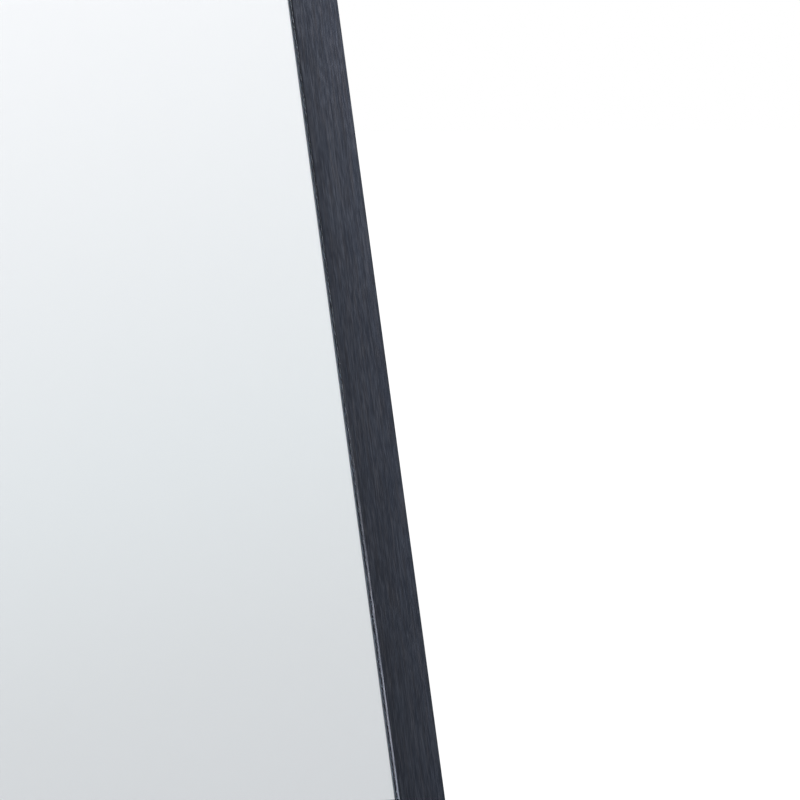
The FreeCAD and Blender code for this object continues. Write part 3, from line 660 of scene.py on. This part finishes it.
def foam(name, dark, light, cell):
    """Matt foam in two tones, with cells of one size that are a share as deep."""
    material, tree, shader = start_material(name, {"Specular IOR Level": 0.2})
    skin = pebbled(tree, cell, FOAM_CLOUD)
    feed(tree, shader, {
        "Base Color": mix_colours(tree, skin["Tone"], dark, light),
        "Roughness": spread(tree, skin["Grain"], 0, 1, *FOAM_ROUGHNESS),
    })
    bump(tree, shader, skin["Grain"], CELL_DEPTH * cell)
    return material


grey_tape = foam("grey_tape", dark=(0.27, 0.35, 0.47, 1), light=(0.32, 0.40, 0.54, 1), cell=0.4 * MM)
white_foam = foam("white_foam", dark=(0.76, 0.76, 0.73, 1), light=(0.86, 0.86, 0.84, 1), cell=0.6 * MM)
dress(grey_tape, "glazing_tape")
dress(white_foam, "foam_sheet")
print("foams:", grey_tape.name, white_foam.name)

# %% [markdown]
# ## Hardboard back
# The back of the mirror is a sheet of hardboard: pressed wood fibres, brown, with a smooth face that
# still shows short fibres lying every way, darker flecks, and clouds where the pulp was thicker. One
# stretched noise would look like planed wood, so the fibres are stretched noises at five angles, and
# the flecks are the peaks of a fine one.

# %% Hardboard fibres
FIBRE_WAYS = [math.radians(way) for way in (8, 41, 77, 118, 160)]
FIBRE_SIZE = (0.5 * MM, 4.0 * MM, 4.5 * MM)
FIBRE_DETAIL = 2.0
FIBRE_RANGE = (0.40, 0.60)
board, tree, shader = start_material("hardboard", {"Specular IOR Level": 0.4})
fibres = 0.0
for way in FIBRE_WAYS:
    turned = turned_to(tree, object_place(tree, UP_STILE), (0, way, 0))
    strands = noise(tree, vector_node(tree, "DIVIDE", turned, FIBRE_SIZE)["Vector"], FIBRE_DETAIL)
    fibres = math_node(tree, "MULTIPLY_ADD", strands, 1 / len(FIBRE_WAYS), fibres)
fibres = spread(tree, fibres, *FIBRE_RANGE)
print("fibre directions:", len(FIBRE_WAYS))

# %% Hardboard
BOARD_DARK = (0.150, 0.078, 0.036, 1)
BOARD_LIGHT = (0.300, 0.178, 0.092, 1)
BOARD_FLECK = (0.085, 0.045, 0.022, 1)
BOARD_GRAIN = 1.1 * MM
BOARD_CLOUD = 120 * MM
BOARD_ROUGHNESS = (0.66, 0.50)
FIBRE_SHARE = 0.68
FIBRE_DEPTH = 0.06 * MM
FIBRE_STRENGTH = 0.6
FLECK_PEAKS = (0.90, 1.0)
FLECK_SHARE = 0.7
pulp = pebbled(tree, BOARD_GRAIN, BOARD_CLOUD)
thick = math_node(tree, "MULTIPLY", pulp["Tone"], 1 - FIBRE_SHARE)
tone = math_node(tree, "MULTIPLY_ADD", fibres, FIBRE_SHARE, thick)
brown = mix_colours(tree, tone, BOARD_DARK, BOARD_LIGHT)
fleck = spread(tree, pulp["Grain"], *FLECK_PEAKS, 0.0, FLECK_SHARE)
feed(tree, shader, {
    "Base Color": mix_colours(tree, fleck, brown, BOARD_FLECK),
    "Roughness": spread(tree, fibres, 0, 1, *BOARD_ROUGHNESS),
})
bump(tree, shader, fibres, FIBRE_DEPTH, FIBRE_STRENGTH)
dress(board, "backing_board")
print("material:", board.name)

# %% [markdown]
# ## Powder-coated steel
# The leg's tube and the hinge brackets are steel with a black powder coat: a baked plastic skin with
# a fine pebbled texture, rubbed a little greyer along the brackets' edges, and with dust on the
# cross tube near the floor. It is not a metal to the eye, so the shader is a plain dark plastic, and
# three shared groups give its grain, its edges and its dust.

# %% Powder coat
POWDER_DARK = (0.016, 0.0165, 0.018, 1)
POWDER_LIGHT = (0.032, 0.033, 0.036, 1)
POWDER_RUBBED = (0.085, 0.087, 0.092, 1)
POWDER_GRAIN = 0.5 * MM
POWDER_CLOUD = 60 * MM
POWDER_DEPTH = 0.04 * MM
POWDER_STRENGTH = 0.7
POWDER_ROUGHNESS = (0.50, 0.38)
POWDER_EDGE_RADIUS = 0.8 * MM
POWDER_EDGE_SHARE = 0.6
POWDER_PATCH = 14 * MM
POWDER_SCUFF = 5 * MM
POWDER_DUST_SHARE = 0.10
DUST = (0.30, 0.29, 0.27, 1)
powder, tree, shader = start_material("powder_coat", {"IOR": 1.5})
skin = pebbled(tree, POWDER_GRAIN, POWDER_CLOUD)
edges = effect(tree, soft_edges, {"Radius": POWDER_EDGE_RADIUS})
rubbed = math_node(tree, "MULTIPLY", edges["Edge"], POWDER_EDGE_SHARE)
dust = math_node(tree, "MULTIPLY", dusty(tree, POWDER_PATCH, POWDER_SCUFF), POWDER_DUST_SHARE)
black = mix_colours(tree, skin["Tone"], POWDER_DARK, POWDER_LIGHT)
black = mix_colours(tree, rubbed, black, POWDER_RUBBED)
feed(tree, shader, {
    "Base Color": mix_colours(tree, dust, black, DUST),
    "Roughness": spread(tree, skin["Tone"], 0, 1, *POWDER_ROUGHNESS),
})
bump(tree, shader, skin["Grain"], POWDER_DEPTH, POWDER_STRENGTH, edges["Normal"])
dress(powder, "left_hinge_bracket", "right_hinge_bracket")
print("material:", powder.name)

# %% [markdown]
# ## Bare and plated metal
# Screws, nut plates and pins are bright zinc: a silvery plate with faint bluish and yellowish clouds
# from its passivation. The keyhole plates are pressed from zinc-plated strip, so they show rolling
# lines. Springs and clips are blued, the corner keys are raw castings, and the rivets are burnished.
# They differ in tone, gloss and grain and not in kind, so one function makes them all.

# %% A bare metal
METAL_STRENGTH = 0.6
METAL_EDGE_RADIUS = 0.35 * MM
METAL_EDGE_SHARE = 0.5
ROLLED_LINE = (0.5 * MM, 12 * MM)


def metal(name, dark, light, gloss, grain, cloud, depth, rolled=0.0):
    """Two tones in clouds, gloss from dull to bright, a grain, and a share of rolling lines."""
    material, tree, shader = start_material(name, {"Metallic": 1.0})
    skin = pebbled(tree, grain, cloud)
    edges = effect(tree, soft_edges, {"Radius": METAL_EDGE_RADIUS})
    tone = skin["Tone"]
    if rolled:
        lines = lines_along(tree, UP_STILE, *ROLLED_LINE)
        clouds = math_node(tree, "MULTIPLY", tone, 1 - rolled)
        tone = math_node(tree, "MULTIPLY_ADD", lines, rolled, clouds)
    plain = mix_colours(tree, tone, dark, light)
    rubbed = math_node(tree, "MULTIPLY", edges["Edge"], METAL_EDGE_SHARE)
    feed(tree, shader, {
        "Base Color": mix_colours(tree, rubbed, plain, light),
        "Roughness": spread(tree, tone, 0, 1, *gloss),
    })
    bump(tree, shader, skin["Grain"], depth, METAL_STRENGTH, edges["Normal"])
    return material


print("metal helper ready")

# %% Metals
zinc = metal(
    "bright_zinc", dark=(0.53, 0.55, 0.60, 1), light=(0.72, 0.70, 0.64, 1), gloss=(0.36, 0.22),
    grain=0.5 * MM, cloud=6 * MM, depth=0.01 * MM)
strip = metal(
    "zinc_strip", dark=(0.46, 0.48, 0.52, 1), light=(0.68, 0.68, 0.67, 1), gloss=(0.42, 0.28),
    grain=0.6 * MM, cloud=15 * MM, depth=0.01 * MM, rolled=0.6)
blued = metal(
    "blued_spring", dark=(0.085, 0.105, 0.165, 1), light=(0.22, 0.19, 0.17, 1), gloss=(0.40, 0.26),
    grain=0.8 * MM, cloud=10 * MM, depth=0.01 * MM)
casting = metal(
    "raw_casting", dark=(0.40, 0.40, 0.41, 1), light=(0.56, 0.56, 0.57, 1), gloss=(0.62, 0.46),
    grain=0.9 * MM, cloud=12 * MM, depth=0.08 * MM)
burnished = metal(
    "burnished_rivet", dark=(0.36, 0.36, 0.38, 1), light=(0.52, 0.52, 0.53, 1), gloss=(0.34, 0.22),
    grain=0.6 * MM, cloud=3 * MM, depth=0.02 * MM)
dress(zinc, "corner_screws", "hinge_screws", "hanger_screws")
dress(zinc, "left_nut_plate", "right_nut_plate", "left_hinge_pin", "right_hinge_pin")
dress(strip, "left_hanger_plate", "right_hanger_plate")
dress(blued, "bow_springs", "pin_clips")
dress(casting, *[node for node in frame["nodes"] if node.endswith("corner_key")])
dress(burnished, "leg_rivets")
print("metals:", [material.name for material in (zinc, strip, blued, casting, burnished)])

# %% [markdown]
# ## Moulded nylon
# The two heads that carry the leg are moulded in black nylon, and the thin washers beside them in
# natural white. A mould leaves a fine even grain and edges with a small radius, and the surface is
# a little glossier where hands have rubbed it.

# %% Nylon
NYLON_GRAIN = 0.5 * MM
NYLON_CLOUD = 14 * MM
NYLON_DEPTH = 0.04 * MM
NYLON_STRENGTH = 0.7
NYLON_EDGE_RADIUS = 0.7 * MM


def nylon(name, dark, light, gloss):
    """Finely grained nylon in two tones, with rounded edges and gloss from dull to bright."""
    material, tree, shader = start_material(name, {"IOR": 1.53})
    skin = pebbled(tree, NYLON_GRAIN, NYLON_CLOUD)
    edges = effect(tree, soft_edges, {"Radius": NYLON_EDGE_RADIUS})
    feed(tree, shader, {
        "Base Color": mix_colours(tree, skin["Tone"], dark, light),
        "Roughness": spread(tree, skin["Tone"], 0, 1, *gloss),
    })
    bump(tree, shader, skin["Grain"], NYLON_DEPTH, NYLON_STRENGTH, edges["Normal"])
    return material


black_nylon = nylon(
    "moulded_black", dark=(0.014, 0.014, 0.015, 1), light=(0.030, 0.030, 0.031, 1), gloss=(0.58, 0.44))
white_nylon = nylon(
    "moulded_white", dark=(0.70, 0.69, 0.64, 1), light=(0.80, 0.79, 0.75, 1), gloss=(0.50, 0.38))
dress(white_nylon, "hinge_washers")
print("nylons:", black_nylon.name, white_nylon.name)

# %% [markdown]
# ## Matt rubber
# The sleeves on the leg and the wedges under the frame are black rubber. Rubber is matt, has a pale
# bloom in patches, and picks up dust where it meets the floor. The bloom is the broad tone of the
# grain group, and its patches are also the dullest ones.

# %% Rubber
RUBBER_DARK = (0.013, 0.013, 0.0135, 1)
RUBBER_BLOOM = (0.042, 0.042, 0.043, 1)
RUBBER_GRAIN = 0.6 * MM
RUBBER_CLOUD = 16 * MM
RUBBER_DEPTH = 0.05 * MM
RUBBER_STRENGTH = 0.7
RUBBER_ROUGHNESS = (0.72, 0.88)
RUBBER_PATCH = 6 * MM
RUBBER_SCUFF = 3 * MM
RUBBER_DUST_SHARE = 0.16
rubber, tree, shader = start_material("matt_rubber", {"Specular IOR Level": 0.35})
skin = pebbled(tree, RUBBER_GRAIN, RUBBER_CLOUD)
dust = math_node(tree, "MULTIPLY", dusty(tree, RUBBER_PATCH, RUBBER_SCUFF), RUBBER_DUST_SHARE)
black = mix_colours(tree, skin["Tone"], RUBBER_DARK, RUBBER_BLOOM)
feed(tree, shader, {
    "Base Color": mix_colours(tree, dust, black, DUST),
    "Roughness": spread(tree, skin["Tone"], 0, 1, *RUBBER_ROUGHNESS),
})
bump(tree, shader, skin["Grain"], RUBBER_DEPTH, RUBBER_STRENGTH)
print("material:", rubber.name)

# %% [markdown]
# ## Modelling by hand, in code
# New pieces are shaped in edit mode, as by hand: select something, then extrude, inset, bevel or
# move it. Selecting is done by a test on each vertex, edge or face, so it never depends on the order
# in which the mesh was made.

# %% Helpers for modelling
MERGE_GAP = 0.001 * MM


def edit_all():
    """Enters edit mode with every vertex selected."""
    bpy.ops.object.mode_set(mode="EDIT")
    bpy.ops.mesh.select_mode(type="VERT")
    bpy.ops.mesh.select_all(action="SELECT")


def pick(kind, test):
    """Selects the vertices, edges or faces of the mesh in edit mode that pass a test."""
    bpy.ops.mesh.select_mode(type=kind)
    bpy.ops.mesh.select_all(action="DESELECT")
    shape = bmesh.from_edit_mesh(bpy.context.object.data)
    for item in {"VERT": shape.verts, "EDGE": shape.edges, "FACE": shape.faces}[kind]:
        if test(item):
            item.select_set(True)
    shape.select_flush_mode()
    bmesh.update_edit_mesh(bpy.context.object.data)


def merge_points():
    """Selects the whole mesh in edit mode and joins points that lie on each other."""
    bpy.ops.mesh.select_all(action="SELECT")
    bpy.ops.mesh.remove_doubles(threshold=MERGE_GAP)


def cut_at_floor(level):
    """Cuts off what lies below a level and closes the cut with a flat face."""
    bpy.ops.mesh.bisect(plane_co=(0, 0, level), plane_no=(0, 0, 1), use_fill=True, clear_inner=True)


print("modelling helpers ready")

# %% The last steps of every piece
ROUNDING_SEGMENTS = 2


def finish_piece(name, node, material, body, crease_deg, bevel_width):
    """Leaves edit mode, rounds the sharp edges, and puts the piece in the place of a CAD node."""
    bpy.ops.object.mode_set(mode="OBJECT")
    piece = bpy.context.object
    piece.name = piece.data.name = name
    rounding = piece.modifiers.new("rounding", "BEVEL")
    rounding.width = bevel_width
    rounding.segments = ROUNDING_SEGMENTS
    rounding.limit_method = "ANGLE"
    rounding.angle_limit = math.radians(crease_deg)
    bpy.ops.object.modifier_apply(modifier=rounding.name)
    bpy.ops.object.shade_smooth_by_angle(angle=math.radians(crease_deg))
    piece.data.materials.append(material)
    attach(piece, body)
    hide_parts(node)
    print(name, "faces:", len(piece.data.polygons))


print("edge rounding segments:", ROUNDING_SEGMENTS)

# %% [markdown]
# ## Ribbed sleeves on the leg
# The leg's cross tube wears two rubber sleeves, ribbed so that they grip the floor, with a flat
# where they stand. A turned shape is best made from its section: half of the sleeve's outline, spun
# round the tube. The outline starts as a sheet whose face is deleted, its outer edge is divided
# every millimetre, and every second pair of points is pushed in to make a groove. The flat is then
# cut off at the floor.

# %% Sleeves
SLEEVE_BORE = 8.05 * MM
SLEEVE_TURN_STEPS = 64
SLEEVE_CREASE_DEG = 32
SLEEVE_ROUNDING = 0.2 * MM
RIB_STEPS = 4
GROOVE_STEPS = (2, 3)
RIBBED_STEPS = 15
RIB_DEPTH = 0.8 * MM
RIM_DROPS = (1.1 * MM, 0.35 * MM)


def new_outline(middle, width, height):
    """The four edges of a flat sheet in the XZ plane, in edit mode."""
    bpy.ops.object.select_all(action="DESELECT")
    bpy.ops.mesh.primitive_plane_add(size=1, location=middle, rotation=(math.radians(90), 0, 0))
    bpy.ops.object.transform_apply(location=True, rotation=True, scale=True)
    edit_all()
    bpy.ops.transform.resize(value=(width, 1, height), center_override=middle)
    bpy.ops.mesh.delete(type="ONLY_FACE")


def ribbed_sleeve(name, node):
    """A sleeve spun from its section round the cross tube, with ribs, rounded rims and a flat."""
    low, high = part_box(node)
    radius = (high.y - low.y) / 2
    length = high.x - low.x
    thickness = radius - SLEEVE_BORE
    mid_wall = high.z - thickness / 2
    axle = Vector(((low.x + high.x) / 2, (low.y + high.y) / 2, high.z - radius))
    new_outline(axle + Vector((0, 0, SLEEVE_BORE + thickness / 2)), length, thickness)
    pick("EDGE", lambda edge: all(vert.co.z > mid_wall for vert in edge.verts))
    bpy.ops.mesh.subdivide(number_cuts=round(length / MM) - 1)

    def steps_out(vert):
        """Millimetre steps from the middle of the sleeve, or none on its inner edge."""
        return round(abs(vert.co.x - axle.x) / MM) if vert.co.z > mid_wall else None

    def in_groove(vert):
        """Whether a point of the outer edge is one of a pair that makes a groove."""
        steps = steps_out(vert)
        return steps is not None and steps <= RIBBED_STEPS and steps % RIB_STEPS in GROOVE_STEPS

    for distance, drop in enumerate(RIM_DROPS):
        pick("VERT", lambda vert: steps_out(vert) == round(length / 2 / MM) - distance)
        bpy.ops.transform.translate(value=(0, 0, -drop))
    pick("VERT", in_groove)
    bpy.ops.transform.translate(value=(0, 0, -RIB_DEPTH))
    bpy.ops.mesh.select_all(action="SELECT")
    bpy.ops.mesh.spin(steps=SLEEVE_TURN_STEPS, angle=math.tau, center=axle, axis=(1, 0, 0))
    merge_points()
    bpy.ops.mesh.normals_make_consistent(inside=False)
    cut_at_floor(low.z)
    finish_piece(name, node, rubber, "leg", SLEEVE_CREASE_DEG, SLEEVE_ROUNDING)


for side in ("left", "right"):
    ribbed_sleeve(side + "_ribbed_sleeve", side + "_leg_foot")

# %% [markdown]
# ## Wedge feet
# The frame leans, so the feet under its bottom rail are wedges: square to the rail, with a level
# sole. Modelling on a slope is awkward, so each one starts upright, as a block with rounded corners
# and a stem that plugs into the rail. It is then tilted with the frame and cut off at the floor. A
# groove runs round it, and a recess in the sole leaves a rim to stand on.

# %% The block and the stem of a foot
FOOT_CORNER = 4 * MM
FOOT_CORNER_SEGMENTS = 5
STEM_RADIUS = 3 * MM
STEM_LENGTH = 6 * MM
STEM_SIDES = 24


def corner_block(width, depth, tall):
    """An upright block round the origin, with rounded upright corners."""
    bpy.ops.object.select_all(action="DESELECT")
    bpy.ops.mesh.primitive_cube_add(size=1, location=(0, 0, 0))
    edit_all()
    bpy.ops.transform.resize(value=(width, depth, tall), center_override=(0, 0, 0))
    pick("EDGE", lambda edge: abs(edge.verts[0].co.z - edge.verts[1].co.z) > tall / 2)
    bpy.ops.mesh.bevel(offset=FOOT_CORNER, segments=FOOT_CORNER_SEGMENTS, affect="EDGES")
    bpy.ops.object.mode_set(mode="OBJECT")
    return bpy.context.object


def join_stem(foot, top):
    """Joins a round stem to a foot, half of it above the foot's top."""
    bpy.ops.mesh.primitive_cylinder_add(
        vertices=STEM_SIDES, radius=STEM_RADIUS, depth=2 * STEM_LENGTH, location=(0, 0, top))
    stem = bpy.context.object
    joining = foot.modifiers.new("stem", "BOOLEAN")
    joining.operation = "UNION"
    joining.object = stem
    bpy.context.view_layer.objects.active = foot
    bpy.ops.object.modifier_apply(modifier=joining.name)
    bpy.data.objects.remove(stem)
    foot.select_set(True)


print("stem length in millimetres:", round(STEM_LENGTH / MM, 1))

# %% Feet
FOOT_INSET = 3 * MM
FOOT_CREASE_DEG = 32
FOOT_ROUNDING = 0.25 * MM
GROOVE_LOW = 1.4 * MM
GROOVE_HIGH = 2.3 * MM
GROOVE_DEPTH = 0.5 * MM
GROOVE_SLANT = 0.1 * MM
SOLE_RIM = 2.2 * MM
SOLE_RECESS = 0.5 * MM
# The Z of a face's normal is nearer to 0 than the first of these on a side, and under the second on
# the sole.
SIDE_NORMAL = 0.5
SOLE_NORMAL = -0.9


def in_foot_groove(face):
    """Whether a face of the foot's side lies between the edges of its groove."""
    return GROOVE_LOW < face.calc_center_median().z < GROOVE_HIGH and abs(face.normal.z) < SIDE_NORMAL


def on_sole(face):
    """Whether a face is the sole, low down and facing the floor."""
    return face.normal.z < SOLE_NORMAL and face.calc_center_median().z < GROOVE_LOW / 2


def wedge_foot(name, node):
    """A foot that leans with the frame and stands level, with a groove and a recessed sole."""
    low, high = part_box(node)
    seat = RIGHT_TOE + BACK_WAY * (FRAME_DEPTH / 2)
    seat.x = (low.x + high.x) / 2
    tall = 2 * seat.z
    foot = corner_block(high.x - low.x, FRAME_DEPTH - 2 * FOOT_INSET, tall)
    join_stem(foot, tall / 2)
    foot.rotation_euler = (-LEAN, 0, 0)
    foot.location = seat - UP_WAY * (tall / 2)
    bpy.ops.object.transform_apply(location=True, rotation=True, scale=True)
    edit_all()
    cut_at_floor(low.z)
    for level in (GROOVE_LOW, GROOVE_HIGH):
        bpy.ops.mesh.select_all(action="SELECT")
        bpy.ops.mesh.bisect(plane_co=(0, 0, level), plane_no=(0, 0, 1))
    pick("FACE", in_foot_groove)
    bpy.ops.mesh.inset(thickness=GROOVE_SLANT, depth=-GROOVE_DEPTH, use_even_offset=True)
    pick("FACE", on_sole)
    bpy.ops.mesh.inset(thickness=SOLE_RIM, depth=-SOLE_RECESS)
    finish_piece(name, node, rubber, "frame", FOOT_CREASE_DEG, FOOT_ROUNDING)


for side in ("left", "right"):
    wedge_foot(side + "_wedge_foot", side + "_front_foot")

# %% [markdown]
# ## The bent leg
# The leg is one steel tube, bent twice. A tube bender makes it in steps: a straight run, a bend round
# a wheel, the cross run, a second bend, and up again. A curve with a round bevel could draw it too, but
# the bender's own steps give the true radius of each bend. A circle is extruded down, spun a quarter
# turn round the bend's centre, and so on. The tube is drawn standing upright on its cross run, gets
# its wall thickness, and is then tilted to the slope of the open leg.

# %% Where the leg stands
pin = Vector(frame["joints"][0]["pos_m"])
tube_low, tube_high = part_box("leg_tube")
sleeve_low, sleeve_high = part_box("left_leg_foot")
sleeve_radius = (sleeve_high.y - sleeve_low.y) / 2
cross_run = Vector((0, (sleeve_low.y + sleeve_high.y) / 2, sleeve_high.z - sleeve_radius))
LEG_SLOPE = math.atan2(cross_run.y - pin.y, pin.z - cross_run.z)
LEG_RADIUS = cross_run.z - tube_low.z
LEG_X = tube_high.x - LEG_RADIUS
LEG_TOP = (tube_high.z - LEG_RADIUS * math.sin(LEG_SLOPE) - cross_run.z) / math.cos(LEG_SLOPE)
print("leg slope in degrees:", round(math.degrees(LEG_SLOPE), 2), "radius:", round(LEG_RADIUS, 5))

# %% Leg tube
LEG_BEND = 45 * MM
LEG_WALL = 1.5 * MM
LEG_SIDES = 48
LEG_CREASE_DEG = 40
LEG_ROUNDING = 0.25 * MM
BEND_STEPS = 28


def pull(way):
    """Extrudes the selected ring by a straight run."""
    bpy.ops.mesh.extrude_region_move(TRANSFORM_OT_translate={"value": way})


def bend_round(centre):
    """Spins the selected ring a quarter turn round a bend's centre, in the XZ plane."""
    bpy.ops.mesh.spin(steps=BEND_STEPS, angle=-math.radians(90), center=centre, axis=(0, 1, 0))


bpy.ops.object.select_all(action="DESELECT")
bpy.ops.mesh.primitive_circle_add(vertices=LEG_SIDES, radius=LEG_RADIUS, location=(0, 0, 0))
edit_all()
bpy.ops.transform.translate(value=(LEG_X, 0, LEG_TOP))
pull((0, 0, LEG_BEND - LEG_TOP))
bend_round((LEG_X - LEG_BEND, 0, LEG_BEND))
pull((-2 * (LEG_X - LEG_BEND), 0, 0))
bend_round((LEG_BEND - LEG_X, 0, LEG_BEND))
pull((0, 0, LEG_TOP - LEG_BEND))
merge_points()
bpy.ops.mesh.normals_make_consistent(inside=False)
bpy.ops.object.mode_set(mode="OBJECT")
bent_leg = bpy.context.object
tube_wall = bent_leg.modifiers.new("tube_wall", "SOLIDIFY")
tube_wall.thickness = LEG_WALL
bpy.ops.object.modifier_apply(modifier=tube_wall.name)
bent_leg.rotation_euler = (LEG_SLOPE, 0, 0)
bent_leg.location = cross_run
bpy.ops.object.transform_apply(location=True, rotation=True, scale=True)
finish_piece("bent_leg", "leg_tube", powder, "leg", LEG_CREASE_DEG, LEG_ROUNDING)

# %% [markdown]
# ## Moulded leg heads
# The nylon heads come out of a mould, so their edges are round. Their shape is already in the CAD
# model, with its bore and its stop, and modelling it anew could spoil the fit. So a copy of that mesh
# is joined up and its edges are bevelled, which keeps every face where it was.

# %% Leg heads
HEAD_FLAT_DEG = 1
HEAD_CREASE_DEG = 40
HEAD_ROUNDING = 0.5 * MM


def moulded_head(name, node):
    """A copy of a CAD head with its triangles joined into faces and its edges rounded."""
    bpy.ops.object.select_all(action="DESELECT")
    head = bpy.data.objects.new(name, frame["nodes"][node].data.copy())
    bpy.context.collection.objects.link(head)
    head.select_set(True)
    bpy.context.view_layer.objects.active = head
    head.data.materials.clear()
    edit_all()
    merge_points()
    bpy.ops.mesh.dissolve_limited(angle_limit=math.radians(HEAD_FLAT_DEG))
    finish_piece(name, node, black_nylon, "leg", HEAD_CREASE_DEG, HEAD_ROUNDING)


for side in ("left", "right"):
    moulded_head(side + "_moulded_head", side + "_leg_head")
